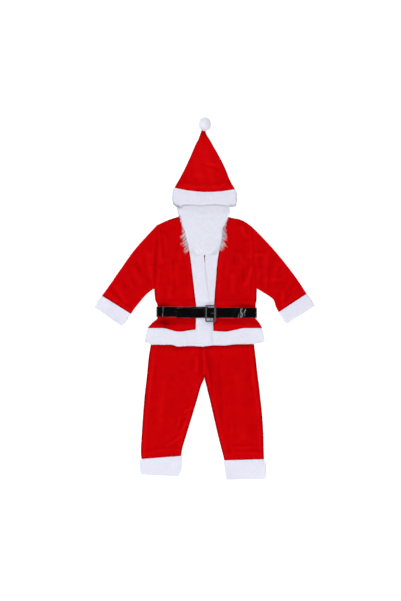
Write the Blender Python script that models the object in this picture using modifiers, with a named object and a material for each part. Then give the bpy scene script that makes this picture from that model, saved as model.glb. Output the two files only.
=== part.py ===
"""A child's Santa suit laid out flat: hat, beard, jacket, belt and trousers.

The set lies face up on a plane surface at z = 0, with the hat towards +Y.
Left and right are those of the person looking at it: left is -X.
Tables and sizes are in millimetres; the meshes are in metres.
"""

import math

import bmesh
import bpy
import numpy as np

MM = 0.001

# Cloth
VELVET = 1.5          # one layer of velvet
SEAM = 0.3            # daylight between two sewn pieces
SEAM_CLEAR = 0.39     # the same at a cuff, whose edge leans back
SHOULDER_GAP = 1.5    # where the sleeve's folded edge leans over the shoulder seam
LAYER = VELVET + SEAM  # from the floor to the layer above it
CUFF_PLUSH = 4.5      # one layer of plush with its pile, on cuffs and brim
BAND_PLUSH = 4.0      # on the front bands and the front hem
BACK_PLUSH = 3.5      # on the back hem, flattened by what lies on it

# How high the layers lie
BELT_LIFT = 2.3       # the jacket's back over the belt's back strap
HEM_LIFT = 6.0        # the jacket's back hem over the top of the trousers
BACK_OVER_HEM = HEM_LIFT + 0.4    # the jacket's back itself, level with the hem's middle
FRONT_HEM = HEM_LIFT + BACK_PLUSH + SEAM
BAND_STEP = 0.6       # from the lower front band to the upper one
BEARD_LIFT = 6.3      # the beard over the front bands
BRIM_START = 1.5      # the brim's underside at the cone, and
BRIM_LIFT = 5.6       # over the top of the beard
CUFF_RISE = 3.4       # a sleeve or leg, up to its cuff's upper layer
HEM_RISE = 0.9        # a jacket front, up to its hem
BACK_CONE_RISE = 2.6  # the cone's back and front, up to the brim
FRONT_CONE_RISE = 6.4

# Air under the cloth
JACKET_PUFF = 1.2
TROUSER_PUFF = 2.0
GATHERED_PUFF = 0.9   # at the top of the trousers, under the jacket's hem
WAIST_PUFF = 0.6
PLUSH_PUFF = 1.6
PLUSH_RIPPLE = 0.5
HAT_PUFF = 3.0
HAT_RIPPLE = 1.6

# Where the lengthwise changes happen, as y
BELT_TOP = -29.0
BELT_BOTTOM = -90.0
HEM_TOP = -133.0
HEM_END = -214.0
CROTCH = -357.0
ONTO_BELT = (-5, BELT_TOP + 4)                    # the jacket's back climbs onto the belt
ONTO_HEM = (BELT_BOTTOM - 14, -130)               # and from there over the trousers
PRESS_ABOVE = (22, BELT_TOP + 4)                  # the belt's hold on the front fades in
PRESS_BELOW = (BELT_BOTTOM - 34, BELT_BOTTOM - 16)    # and out again
FRONTS_MEET = (194, 168)                          # the left front comes to lie on the right one
ONTO_BANDS = (412, 374)                           # the beard climbs onto the front bands
GATHERS_END = (-212, -250)                        # the trousers come out from under the hem
PRESSED_PILE = 0.375  # share of a band's thickness that the belt presses away

# Pattern
SHOULDER_HALF = 212.0     # from the middle to the armhole's top
SHOULDER_RISE = 36.0      # from there up to the neck
SHOULDER_BOW = 7.0
NECK_HALF = 112.0         # from the middle to each corner of the back's neckline
NECK_TIP = 9.0            # how far that corner stands above the shoulder seam
NECK_DIP = 14.0
HEM_HALVES = (-271, 273)  # x of the hem trim's lower corners
HEM_BACK_EDGE = -196.0
HEM_BACK_BOW = 9.0
HAT_SEAM_SAG = 15.0
HAT_HALF = 131.0          # half the width of the cone where it meets the brim
JACKET_CORNERS = (3, 5, 6)    # rows of the jacket's tables: the armpit and both edges of the belt

# Columns of points across a piece, as shares of its width
GATHERS = 12              # across the top of each trouser front
GATHER_HEIGHT = 1.3
GATHER_LENGTH = 62.0      # below the waistband
FRONT_COLUMNS = 14
BAND_COLUMNS = (0, 0.05, 0.17, 0.4, 0.68, 0.86, 1)
BACK_COLUMNS = (0, 0.12, 0.232, 0.241, 0.32, 0.5, 0.68, 0.755, 0.764, 0.88, 1)

# Belt and buckle
BELT_THICK = 1.8
BELT_WIDTH = 45.0
BELT_FIXED_Y = -59.6   # middle of the stretch from the left side to the buckle
BELT_FREE_Y = -64.1    # middle of the stretch from the right side to the tip
BELT_LEFT = -216.0
BELT_RIGHT = 234.0
BUCKLE_MIDDLE = (27.4, -67.0)
BUCKLE_SIZE = (48.6, 76.5)
BUCKLE_BAR = 6.3
BUCKLE_THICK = 2.4
BUCKLE_BASE = 14.5
CENTRE_BAR_RADIUS = 1.1
CENTRE_BAR_Z = 11.3
PRONG_RADIUS = 1.2
PRONG_Y = -65.5
PRONG_HOLE = (9.5, 5, 6)
HOLE_AT = (3.6, 3.5)   # from the centre bar, along x and z
BELT_SIDE = 2 * LAYER + BELT_LIFT + BELT_THICK / 2 + 0.1    # over the jacket, away from its bands
TAIL_SIDE = BELT_SIDE + 2.2                                # over the strap's fixed end too
# The strap's middle from the buckle to the left side, and from the right side through the
# buckle to its tip. Columns: x, z.
FIXED_PATH = [(17, 11.0), (-6, 11.0), (-24, 11.0), (-36, 10.4), (-46, 8.2), (-58, BELT_SIDE),
              (-120, BELT_SIDE), (-170, BELT_SIDE)]
BACK_STEPS = (-140, -60, 20, 100, 170)    # x of the back strap's points
FREE_PATH = [(170, BELT_SIDE), (120, BELT_SIDE), (78, BELT_SIDE), (62, BELT_SIDE + 0.3),
             (52, 8.8), (44, 10.6), (36, 12.6), (30, 13.6), (24, 13.7), (16, 13.4), (6, 13.2),
             (-24, 13.2), (-36, 12.8), (-47, 10.9), (-60, TAIL_SIDE), (-100, TAIL_SIDE),
             (-128, TAIL_SIDE)]

# Pompom
POMPOM_MIDDLE = (1.4, 783.9, 24.2)
POMPOM_CORE = (24.5, 28.5, 24.6)
POMPOM_LOCK = 3.6
LOWEST_LOCK = -0.45    # as a share of the core's radius, down from its middle

# Beard
BEARD_DEPTH = 9.0
UNDER_BRIM = 0.52      # share of that depth under the brim
FRINGE_STRIP = 3.6
STRIP_THICK = 2.6
STRIP_LIFT = 0.6       # above the beard's underside
STRIP_STEPS = 52       # every second step carries a lock
LOCKS_FROM = 388.0     # above this y the strip carries no locks
LOCK_LENGTH = 36.0
LOCK_SPREAD = (0.65, 1.05)    # least and most, as a share of that length
LOCK_LEAN = (0.9, 1.35)       # along the edge for each step away from it
LOCK_HALF = (1.7, 0.9)        # half its width and height at its middle

# Sections of each piece, from its top end to its bottom end.
# Columns: outer x, outer y, inner x, inner y.
TROUSER_LEFT = [
    (-230, -166, -0.6, -166),
    (-243, -213, -0.6, -213),
    (-250, -267, -0.6, -276),
    (-258, -339, -1.2, -352),
    (-262, -384, -14, -389),
    (-269, -447, -34, -454),
    (-277, -537, -61, -537),
    (-282, -627, -90, -623),
    (-286, -690, -104, -677),
    (-284, -722, -105, -708),
]
TROUSER_RIGHT = [
    (211, -166, -0.2, -166),
    (223, -213, -0.2, -213),
    (228, -267, -0.2, -276),
    (237, -339, 0.6, -352),
    (242, -384, 8, -389),
    (249, -447, 24, -454),
    (259, -537, 43, -537),
    (262, -627, 62, -623),
    (264, -681, 77, -681),
    (268, -723, 89, -728),
]
JACKET_FRONT_LEFT = [
    (-214, 327, -91, 367),
    (-216.9, 264, -79, 282),
    (-221.5, 165, -61, 165),
    (-227, 45, -47, 45),
    (-223, -2, -41, -2),
    (-212, BELT_TOP, -38, BELT_TOP),
    (-212, BELT_BOTTOM, -38, BELT_BOTTOM),
    (-236, -106, -39, -107),
    (-258, HEM_TOP, -40, HEM_TOP),
]
JACKET_FRONT_RIGHT = [
    (211, 322, 90, 368),
    (216.2, 264, 78, 273),
    (225.2, 165, 58, 165),
    (236, 45, 48, 45),
    (235, -2, 45, -2),
    (230, BELT_TOP, 43, BELT_TOP),
    (230, BELT_BOTTOM, 39, BELT_BOTTOM),
    (245, -106, 39, -107),
    (260, HEM_TOP, 39, HEM_TOP),
]
BAND_INNER_LEFT = [(-32, 360), (-17, 273), (-1, 165), (14, 45), (20, -2), (23, BELT_TOP),
                   (28, BELT_BOTTOM), (30, -107), (33, HEM_TOP)]
BAND_INNER_RIGHT = [(30, 360), (16, 273), (1.5, 165), (-14, 45), (-18, -2), (-19, BELT_TOP),
                    (-24, BELT_BOTTOM), (-25, -107), (-27, HEM_TOP)]
SLEEVE_LEFT = [
    (-214, 327, -227, 45),
    (-259, 279, -248, 34),
    (-315, 219, -272, 16),
    (-374, 138, -297, -11),
    (-421, 70, -317, -36),
    (-461, 15, -331, -63),
]
SLEEVE_RIGHT = [
    (211, 322, 236, 45),
    (254, 279, 261, 33),
    (310, 219, 286, 17),
    (371, 144, 310, -4),
    (421, 77, 320, -33),
    (459, 25, 334, -56),
]
# Cuffs, from just below the seam that each shares with its sleeve or leg.
CUFF_LEFT = [(-480, -11, -349, -96), (-497, -36, -371, -125)]
CUFF_RIGHT = [(481, -4, 351, -87), (497, -31, 367, -114)]
WAISTBAND = [(-229, -141, 210, -141), (-229, -165, 210, -165)]
TROUSER_CUFF_LEFT = [(-291, -733, -100, -719), (-291, -758, -100, -753), (-287, -790, -117, -800)]
TROUSER_CUFF_RIGHT = [(274, -736, 88, -739), (278, -771, 91, -771), (274, -810, 96, -815)]
# Left x, left y, right x, right y.
HAT = [
    (-9, 768, 3, 768),
    (-20, 745, 4, 745),
    (-29, 718, 20, 718),
    (-43, 691, 34, 691),
    (-65, 637, 68, 637),
    (-90, 583, 92, 583),
    (-119, 529, 117, 529),
    (-130, 498, 131, 491),
]
HAT_BRIM = [
    (-134, 497.7, 134, 490.5),
    (-144, 477, 144, 473),
    (-145, 448, 145, 446),
    (-139, 422, 143, 416),
]
BEARD = [
    (-112, 448, 108, 448),
    (-121, 408, 112, 408),
    (-116, 381, 110, 381),
    (-106, 349, 99, 349),
    (-92, 309, 84, 309),
    (-84, 264, 78, 264),
    (-68, 230, 65, 230),
    (-38, 210, 36, 210),
    (-9, 201, 7, 201),
]
# The seam between jacket and hem trim: x, y.
HEM_SEAM = [(-258, -133), (-190, -133), (-113, -148.5), (-40, -140), (39, -145.5),
            (91, -148.5), (135, -141), (180, -133), (260, -133)]
# The trim's lower edge on the front: x, y.
HEM_EDGE = [(-271, -194), (-234, -206), (-149, -206.5), (-117, -215), (-61, -211.5),
            (-17, -214.5), (43, -209), (83, -210), (152, -203.5), (224, -203.5), (273, -195)]

# Folds raised in a front. Columns: from x, y, to x, y, half width, height.
TROUSER_FOLDS = [
    (-7, -225, -2, -350, 11, 3.2),
    (1, -255, 54, -556, 13, 4.2),
    (24, -262, 76, -560, 10, -1.4),
    (-77, -497, -50, -504, 9, 2.4),
    (-94, -596, -165, -664, 12, 3.6),
    (-84, -640, -150, -700, 10, 2.4),
    (-33, -262, -38, -330, 12, 1.8),
    (-236, -262, -262, -470, 14, 2.2),
    (-180, -360, -205, -600, 26, 2.6),
    (215, -250, 236, -420, 14, 2.0),
    (150, -330, 176, -640, 28, 2.6),
    (120, -690, 240, -694, 12, 2.0),
]
JACKET_FOLDS = [
    (-200, 296, -198, 160, 15, 3.2),
    (-160, 60, -156, -10, 16, 2.6),
    (-126, 158, -122, 60, 15, 1.8),
    (166, 330, 187, 270, 15, 2.6),
    (196, 200, 226, 186, 15, 2.2),
    (212, 128, 184, 52, 15, 3.0),
    (128, 114, 126, 20, 15, 2.2),
    (-206, -98, -180, -128, 15, 2.6),
    (-104, -98, -98, -132, 14, 1.6),
    (96, -98, 104, -134, 14, 2.0),
    (190, -98, 212, -130, 15, 2.4),
]
SLEEVE_FOLDS = [
    (-250, 210, -240, 90, 17, 2.8),
    (-330, 150, -285, 60, 18, 2.2),
    (-400, 60, -350, -20, 16, 2.2),
    (276, 200, 272, 70, 17, 3.0),
    (330, 170, 300, 60, 18, 2.2),
    (351, 40, 352, -40, 15, 2.4),
    (420, 60, 380, 0, 15, 2.0),
]
RED = ("velvet", (0.55, 0.0, 0.003), 0.85, 0.0)
WHITE = ("plush", (0.80, 0.80, 0.88), 0.95, 0.0)
HAIR = ("beard_fur", (0.80, 0.80, 0.87), 0.9, 0.0)
BLACK = ("belt_vinyl", (0.004, 0.004, 0.005), 0.18, 0.0)
SILVER = ("buckle_metal", (0.72, 0.72, 0.75), 0.2, 1.0)


def clear_scene():
    for obj in list(bpy.data.objects):
        bpy.data.objects.remove(obj, do_unlink=True)


def collection(name, hidden=False):
    made = bpy.data.collections.new(name)
    bpy.context.scene.collection.children.link(made)
    made.hide_render = hidden
    return made


def material(finish):
    name, colour, roughness, metallic = finish
    made = bpy.data.materials.get(name)
    if made is None:
        made = bpy.data.materials.new(name)
        made.use_nodes = True
        shader = made.node_tree.nodes["Principled BSDF"]
        shader.inputs["Base Color"].default_value = (*colour, 1)
        shader.inputs["Roughness"].default_value = roughness
        shader.inputs["Metallic"].default_value = metallic
    return made


def add_object(name, mesh, finish, where):
    made = bpy.data.objects.new(name, mesh)
    made.data.materials.append(material(finish))
    where.objects.link(made)
    return made


def smoothstep(low, high, value):
    part = np.clip((value - low) / (high - low), 0, 1)
    return part * part * (3 - 2 * part)


def cubic(knots, values, wanted):
    """A cubic through the values that never overshoots between two knots."""
    step = np.diff(knots)[:, None]
    slope = np.diff(values, axis=0) / step
    before, after = slope[:-1], slope[1:]
    same = before * after > 0
    mean = np.where(same, 2 * before * after / np.where(same, before + after, 1), 0)
    tangent = np.vstack([slope[:1], mean, slope[-1:]])
    left = np.clip(np.searchsorted(knots, wanted, side="right") - 1, 0, len(knots) - 2)
    span = step[left]
    part = ((wanted - knots[left]) / span[:, 0])[:, None]
    return (
        (2 * part**3 - 3 * part**2 + 1) * values[left]
        + (part**3 - 2 * part**2 + part) * span * tangent[left]
        + (3 * part**2 - 2 * part**3) * values[left + 1]
        + (part**3 - part**2) * span * tangent[left + 1]
    )


def rows_through(sections, pitch, corners=()):
    """The sections and rows between them, about a pitch apart along the piece.

    At a corner the edges turn sharply; elsewhere they run smoothly through the sections.
    """
    table = np.array(sections, float)
    middle = (table[:, :2] + table[:, 2:4]) / 2
    run = np.concatenate([[0], np.cumsum(np.linalg.norm(np.diff(middle, axis=0), axis=1))])
    rows, places = [table[:1]], [run[:1]]
    bounds = [0, *corners, len(table) - 1]
    for first, last in zip(bounds, bounds[1:]):
        knots, stretch = run[first:last + 1], table[first:last + 1]
        for start, end in zip(knots, knots[1:]):
            count = max(1, round((end - start) / pitch))
            place = np.linspace(start, end, count + 1)[1:]
            rows.append(cubic(knots, stretch, place))
            places.append(place)
    return np.vstack(rows), np.concatenate(places) / run[-1]


def along(table, x):
    """y on the broken line through a table of x, y."""
    points = np.array(table, float)
    return np.interp(x, points[:, 0], points[:, 1])


def fold_height(folds, x, y):
    """Height of the folds at x, y: a soft ridge along each row's line, fading at its ends."""
    total = np.zeros_like(x)
    for from_x, from_y, to_x, to_y, width, height in folds:
        length = math.hypot(to_x - from_x, to_y - from_y)
        ahead = ((x - from_x) * (to_x - from_x) + (y - from_y) * (to_y - from_y)) / length
        aside = ((x - from_x) * (to_y - from_y) - (y - from_y) * (to_x - from_x)) / length
        ends = smoothstep(-width, width, ahead) * smoothstep(-width, width, length - ahead)
        total += height * ends * np.exp(-((aside / width) ** 2))
    return total


def grid_mesh(name, grid, closed=False):
    """Quads over a grid of points in millimetres, facing up.

    A closed grid is a tube: its last column joins its first, whose quads lie underneath and face down.
    """
    rows, columns = grid.shape[:2]
    mesh = bpy.data.meshes.new(name)
    points = (grid.reshape(-1, 3) * MM).tolist()
    quads = []
    for row in range(rows - 1):
        for column in range(columns if closed else columns - 1):
            here = row * columns + column
            beside = row * columns + (column + 1) % columns
            quads.append((here, beside, beside + columns, here + columns))
    across = grid[0, 1] - grid[0, 0]
    down = grid[1, 0] - grid[0, 0]
    faces_down = np.cross(across, down)[2] < 0
    if faces_down != closed:
        quads = [quad[::-1] for quad in quads]
    mesh.from_pydata(points, [], quads)
    mesh.shade_smooth()
    return mesh


def solidify(obj, thickness, offset, factors=None):
    made = obj.modifiers.new("Solidify", "SOLIDIFY")
    made.thickness = thickness * MM
    made.offset = offset
    if factors is not None:
        group = obj.vertex_groups.new(name="pile")
        for index, factor in enumerate(factors):
            group.add([index], float(factor), "REPLACE")
        made.vertex_group = group.name


def panel(name, sections, columns, pitch, under, thickness, finish, where,
          warp=None, pile=None, corners=()):
    """A flat-laid piece of cloth: rows from its outer to its inner edge, solid upwards.

    under(x, y, t, v) is the height of its underside, warp(x, y, t, v) moves a point in y
    and pile(x, y, t, v) scales the thickness. t runs across the piece and v along it.
    """
    rows, v = rows_through(sections, pitch, corners)
    t = np.array(columns)[None, :] + np.zeros((len(rows), 1))
    v = v[:, None] + np.zeros_like(t)
    x = rows[:, :1] * (1 - t) + rows[:, 2:3] * t
    y = rows[:, 1:2] * (1 - t) + rows[:, 3:4] * t
    if warp:
        y = y + warp(x, y, t, v)
    z = under(x, y, t, v) + np.zeros_like(x)
    made = add_object(name, grid_mesh(name, np.stack([x, y, z], axis=-1)), finish, where)
    factors = None if pile is None else (pile(x, y, t, v) + np.zeros_like(x)).reshape(-1)
    solidify(made, thickness, 1, factors)
    return made


def even(count):
    return np.linspace(0, 1, count + 1)


def rounded_edges(t, width=0.16, least=0.45):
    """Pile height over a strip: full in the middle and low at both edges."""
    return least + (1 - least) * smoothstep(0, width, np.minimum(t, 1 - t)) ** 0.6


def tube(name, sections, top_columns, pitch, base, puff, wall, finish, where,
         sag=None, low_columns=3):
    """A sleeve, cuff, brim or waistband pressed flat: rings from edge to edge, solid inwards.

    base(y, v) is the height of the underside, puff(x, y, t, v) lifts the upper layer and
    sag(x, v) moves a point in y. The two folded edges are round.
    """
    rows, v_rows = rows_through(sections, pitch)
    edge = wall * 2 + 2 * SEAM
    radius = edge / 2
    fold_angles = [0] if wall < 3 else [-45, 0, 45]
    bottom = even(low_columns)
    top = even(top_columns)[::-1]
    rings = []
    for row, v in zip(rows, v_rows):
        left, right = row[0:2], row[2:4]
        width = np.linalg.norm(right - left)
        runs = [((radius + t * (width - 2 * radius)) / width, 0.0, t, 0.0) for t in bottom]
        for angle in fold_angles:
            out, up = math.cos(math.radians(angle)), math.sin(math.radians(angle))
            runs.append((1 - radius * (1 - out) / width, radius * (1 + up), 1, 0.0))
        runs += [((radius + t * (width - 2 * radius)) / width, edge, t, 1.0) for t in top]
        for angle in fold_angles[::-1]:
            out, up = math.cos(math.radians(angle)), math.sin(math.radians(angle))
            runs.append((radius * (1 - out) / width, radius * (1 + up), 0, 0.0))
        ring = []
        for share, height, t, upper in runs:
            x, y = left * (1 - share) + right * share
            if sag:
                y = y + sag(x, v)
            z = base(y, v) + height
            if upper:
                z = z + float(puff(np.array(x), np.array(y), t, v))
            ring.append((x, y, z))
        rings.append(ring)
    made = add_object(name, grid_mesh(name, np.array(rings, float), closed=True), finish, where)
    solidify(made, wall, -1)
    return made


def back_lift(y):
    """Height of the underside of the jacket's back: on the floor, over the belt, over the trousers."""
    over_belt = BELT_LIFT * smoothstep(*ONTO_BELT, y)
    return over_belt + (BACK_OVER_HEM - BELT_LIFT) * smoothstep(*ONTO_HEM, y)


def belt_press(y):
    """1 where the belt holds the jacket down, 0 away from it."""
    return smoothstep(*PRESS_ABOVE, y) * smoothstep(*PRESS_BELOW, y)


def front_lift(y):
    """Height of the underside of the jacket's fronts and of the lower band."""
    return back_lift(y) + LAYER + (FRONT_HEM - BACK_OVER_HEM - LAYER) * smoothstep(*ONTO_HEM, y)


def band_thickness(y):
    """Share of a front band's full thickness."""
    return 1 - PRESSED_PILE * belt_press(y)


def upper_rise(x, y):
    """How far the upper front lies above the lower one, where the two overlap."""
    return (BAND_PLUSH * band_thickness(y) + BAND_STEP) * smoothstep(*FRONTS_MEET, y)


def below_seam(section):
    """The same edge-to-edge line, moved on past the seam."""
    outer_x, outer_y, inner_x, inner_y = section
    across = np.array([inner_x - outer_x, inner_y - outer_y])
    down = np.array([across[1], -across[0]]) / np.linalg.norm(across)
    down *= -SEAM_CLEAR if down[1] > 0 else SEAM_CLEAR
    return (outer_x + down[0], outer_y + down[1], inner_x + down[0], inner_y + down[1])


def build_trousers(where):
    for side, sections in (("left", TROUSER_LEFT), ("right", TROUSER_RIGHT)):
        panel(f"trouser_back_{side}", sections, even(3), 60, lambda x, y, t, v: 0.0,
              VELVET, RED, where)
        panel(f"trouser_front_{side}", sections, even(2 * GATHERS), 38, trouser_under, VELVET, RED,
              where)
    tube("trouser_waistband", WAISTBAND, 8, 30, lambda y, v: 0.0,
         lambda x, y, t, v: WAIST_PUFF * math.sin(math.pi * t), VELVET, RED, where)
    for side, leg, cuff in (("left", TROUSER_LEFT, TROUSER_CUFF_LEFT),
                            ("right", TROUSER_RIGHT, TROUSER_CUFF_RIGHT)):
        tube(f"trouser_cuff_{side}", [below_seam(leg[-1]), *cuff], 8, 26, lambda y, v: 0.0,
             plush_puff, CUFF_PLUSH, WHITE, where)


def trouser_under(x, y, t, v):
    """Underside of a trouser front: gathered at the top, folded, and rising to meet its cuff."""
    outer = smoothstep(0, 0.09, t)
    inner = 1 - smoothstep(CROTCH + 30, CROTCH - 40, y) * (1 - smoothstep(0, 0.09, 1 - t))
    low = smoothstep(*GATHERS_END, y)
    top = TROUSER_LEFT[0][1]
    fade = 1 - smoothstep(top - GATHER_LENGTH, top - 2 * GATHER_LENGTH, y)
    gathers = GATHER_HEIGHT * np.sin(math.pi * GATHERS * t) ** 2 * fade
    folds = fold_height(TROUSER_FOLDS, x, y) * low
    lie = GATHERED_PUFF + (TROUSER_PUFF - GATHERED_PUFF) * low + gathers + folds
    free = outer * inner * (1 - smoothstep(0.95, 1, v))
    return LAYER + free * np.maximum(lie, 0) + CUFF_RISE * smoothstep(0.93, 1, v)


def plush_puff(x, y, t, v):
    """Pile standing up in the middle of a flattened plush tube."""
    ripple = PLUSH_RIPPLE * math.sin(0.09 * float(x) + 0.05 * float(y))
    return PLUSH_PUFF * math.sin(math.pi * t) ** 0.6 + ripple


def jacket_under(x, y, t, v):
    """Underside of a jacket front."""
    outer = smoothstep(0, 0.1, t)
    free = 1 - belt_press(y)
    hem = smoothstep(-104, -128, y)
    lie = JACKET_PUFF * (1 - hem) + fold_height(JACKET_FOLDS, x, y)
    calm = smoothstep(0, 0.1, 1 - t) * outer * free
    return front_lift(y) + np.maximum(lie, 0) * calm + HEM_RISE * hem


def shoulder_bow(x, y, t, v):
    """The shoulder seam curves up a little between neck and armhole."""
    return SHOULDER_BOW * np.sin(math.pi * t) * (1 - smoothstep(0, 0.16, v))


def hem_wave(x, y, t, v):
    """The last rows follow the hem seam."""
    wave = along(HEM_SEAM, x) - HEM_TOP
    return wave * smoothstep(0.9, 1, v)


def front_warp(x, y, t, v):
    return shoulder_bow(x, y, t, v) + hem_wave(x, y, t, v)


def back_warp(x, y, t, v):
    """The back's top edge follows the shoulder seams, and rises to the neck's two corners."""
    aside = np.abs(x)
    share = np.clip((SHOULDER_HALF - aside) / (SHOULDER_HALF - NECK_HALF), 0, 1)
    shoulder = SHOULDER_RISE * share + SHOULDER_BOW * np.sin(math.pi * share * 0.8)
    tip = np.where(aside < NECK_HALF + 0.5, NECK_TIP, 0)
    neck = tip - NECK_DIP * smoothstep(NECK_HALF, 20, aside)
    return (shoulder + neck) * (1 - smoothstep(0, 0.2, v))


def band_sections(front, inner):
    rows = []
    for (_, _, seam_x, seam_y), (edge_x, edge_y) in zip(front, inner):
        step = SEAM if seam_x < edge_x else -SEAM
        rows.append((seam_x + step, seam_y, edge_x, edge_y))
    return rows


def upper_under(x, y, t, v):
    return front_lift(y) + upper_rise(x, y) * smoothstep(0.05, 0.17, t)


def band_pile(x, y, t, v):
    return band_thickness(y) * rounded_edges(t)


def build_jacket(where):
    back = [(*left[:2], *right[:2]) for left, right in zip(JACKET_FRONT_LEFT, JACKET_FRONT_RIGHT)]
    panel("jacket_back", back, BACK_COLUMNS, 40, lambda x, y, t, v: back_lift(y), VELVET, RED, where,
          warp=back_warp, corners=JACKET_CORNERS)
    fronts = (("left", JACKET_FRONT_LEFT, BAND_INNER_LEFT, upper_under),
              ("right", JACKET_FRONT_RIGHT, BAND_INNER_RIGHT, lambda x, y, t, v: front_lift(y)))
    for side, sections, inner, under in fronts:
        panel(f"jacket_front_{side}", sections, even(FRONT_COLUMNS), 30, jacket_under, VELVET, RED,
              where, warp=front_warp, corners=JACKET_CORNERS)
        panel(f"front_band_{side}", band_sections(sections, inner), BAND_COLUMNS, 26, under,
              BAND_PLUSH, WHITE, where, warp=hem_wave, pile=band_pile, corners=JACKET_CORNERS)
    build_sleeves(where)
    build_hem(where)


def build_sleeves(where):
    sides = (("left", SLEEVE_LEFT, CUFF_LEFT), ("right", SLEEVE_RIGHT, CUFF_RIGHT))
    for side, sleeve, cuff in sides:
        out = -1 if side == "left" else 1
        top_x, top_y, under_x, under_y = sleeve[0]
        first = (top_x + out * SHOULDER_GAP, top_y, under_x + out * 2 * SEAM, under_y)
        tube(f"sleeve_{side}", [first, *sleeve[1:]], 14, 34, lambda y, v: 0.0, sleeve_puff,
             VELVET, RED, where)
        tube(f"sleeve_cuff_{side}", [below_seam(sleeve[-1]), *cuff], 8, 20, lambda y, v: 0.0,
             plush_puff, CUFF_PLUSH, WHITE, where)


def sleeve_puff(x, y, t, v):
    calm = math.sin(math.pi * t) ** 0.5
    lie = JACKET_PUFF + float(fold_height(SLEEVE_FOLDS, x, y) * smoothstep(0, 0.08, v))
    rise = CUFF_RISE * float(smoothstep(0.86, 1, v))
    return calm * (lie * (1 - float(smoothstep(0.92, 1, v))) + rise)


def hem_panel(name, outer_top, outer_low, inner_top, inner_low, columns, under, where):
    """A front hem piece: its top edge on the hem seam and its lower edge on the trim's edge."""
    rows = [(outer_top, HEM_TOP, inner_top, HEM_TOP), (outer_low, HEM_END, inner_low, HEM_END)]

    def warp(x, y, t, v):
        top = along(HEM_SEAM, outer_top + (inner_top - outer_top) * t) - SEAM - HEM_TOP
        low = along(HEM_EDGE, outer_low + (inner_low - outer_low) * t) - HEM_END
        return top * (1 - v) + low * v

    def pile(x, y, t, v):
        return rounded_edges(v, 0.2) * np.minimum(1, rounded_edges(t, 0.05))

    panel(name, rows, columns, 20, under, BAND_PLUSH, WHITE, where, warp=warp, pile=pile)


def build_hem(where):
    low_left, low_right = HEM_HALVES
    back = [(JACKET_FRONT_LEFT[-1][0], HEM_TOP - SEAM, JACKET_FRONT_RIGHT[-1][0], HEM_TOP - SEAM),
            (low_left, HEM_BACK_EDGE, low_right, HEM_BACK_EDGE)]
    panel("hem_band_back", back, even(12), 22, lambda x, y, t, v: HEM_LIFT, BACK_PLUSH, WHITE,
          where, warp=lambda x, y, t, v: -HEM_BACK_BOW * v * (1 - (2 * t - 1) ** 6),
          pile=lambda x, y, t, v: rounded_edges(v, 0.3))
    sides = (("left", JACKET_FRONT_LEFT, BAND_INNER_LEFT, low_left),
             ("right", JACKET_FRONT_RIGHT, BAND_INNER_RIGHT, low_right))
    for side, front, inner, outer_low in sides:
        outer_x, seam_x, edge_x = front[-1][0], front[-1][2], inner[-1][0]
        step = SEAM if seam_x > outer_x else -SEAM
        cloth = outer_x + (seam_x - outer_x) * even(FRONT_COLUMNS)
        band = seam_x + step + (edge_x - seam_x - step) * np.array(BAND_COLUMNS)
        columns = (np.concatenate([cloth, band]) - outer_x) / (edge_x - outer_x)
        joint = (seam_x - outer_x) / (edge_x - outer_x)
        share = (1 - joint) * 0.17

        def under(x, y, t, v, upper=side == "left", joint=joint, share=share):
            rise = (BAND_PLUSH + BAND_STEP) * smoothstep(joint + share * 0.3, joint + share, t)
            return FRONT_HEM + (rise if upper else 0.0)

        hem_panel(f"hem_band_{side}", outer_x, outer_low, edge_x, edge_x, columns, under, where)


def ribbon(name, path, middles, width, thickness, finish, where):
    """A strap: a path of x, z swept along y, with the middle of its width given for each point."""
    grid = []
    for (x, z), middle in zip(path, middles):
        grid.append([(x, middle + width / 2, z), (x, middle - width / 2, z)])
    made = add_object(name, grid_mesh(name, np.array(grid, float)), finish, where)
    solidify(made, thickness, 0)
    return made


def turn(x, low, high, outward, steps=6):
    """Half a turn of the strap round the jacket's side, from the front layer to the back one."""
    radius = (high - low) / 2
    points = []
    for step in range(1, steps):
        angle = math.pi * step / steps
        points.append((x + outward * radius * math.sin(angle), low + radius + radius * math.cos(angle)))
    return points


def build_belt(where, cutters):
    floor = BELT_THICK / 2
    radius = (BELT_SIDE - floor) / 2
    left_turn = BELT_LEFT + floor + radius
    right_turn = BELT_RIGHT - floor - radius
    fixed = [*FIXED_PATH, (left_turn, BELT_SIDE)]
    round_left = turn(left_turn, floor, BELT_SIDE, -1)
    under = [(x, floor) for x in (left_turn, *BACK_STEPS, right_turn)]
    round_right = turn(right_turn, floor, BELT_SIDE, 1)[::-1]
    free = [(right_turn, BELT_SIDE), *FREE_PATH]
    path = fixed + round_left + under + round_right + free
    middles = [BELT_FIXED_Y] * (len(fixed) + len(round_left))
    middles += list(np.linspace(BELT_FIXED_Y, BELT_FREE_Y, len(under)))
    middles += [BELT_FREE_Y] * (len(round_right) + len(free))
    strap = ribbon("belt_strap", path, middles, BELT_WIDTH, BELT_THICK, BLACK, where)
    hole = box("prong_hole", (BUCKLE_MIDDLE[0] + HOLE_AT[0], PRONG_Y, CENTRE_BAR_Z + HOLE_AT[1]),
               PRONG_HOLE, BLACK, cutters)
    cut(strap, hole)
    build_buckle(where, cutters)


def box(name, middle, size, finish, where):
    mesh = bpy.data.meshes.new(name)
    shape = bmesh.new()
    bmesh.ops.create_cube(shape, size=1)
    bmesh.ops.scale(shape, vec=[length * MM for length in size], verts=shape.verts)
    bmesh.ops.translate(shape, vec=[place * MM for place in middle], verts=shape.verts)
    shape.to_mesh(mesh)
    shape.free()
    return add_object(name, mesh, finish, where)


def cut(obj, cutter, operation="DIFFERENCE"):
    cutter.hide_render = True
    cutter.display_type = "WIRE"
    made = obj.modifiers.new(operation.title(), "BOOLEAN")
    made.operation = operation
    made.object = cutter
    return made


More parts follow.
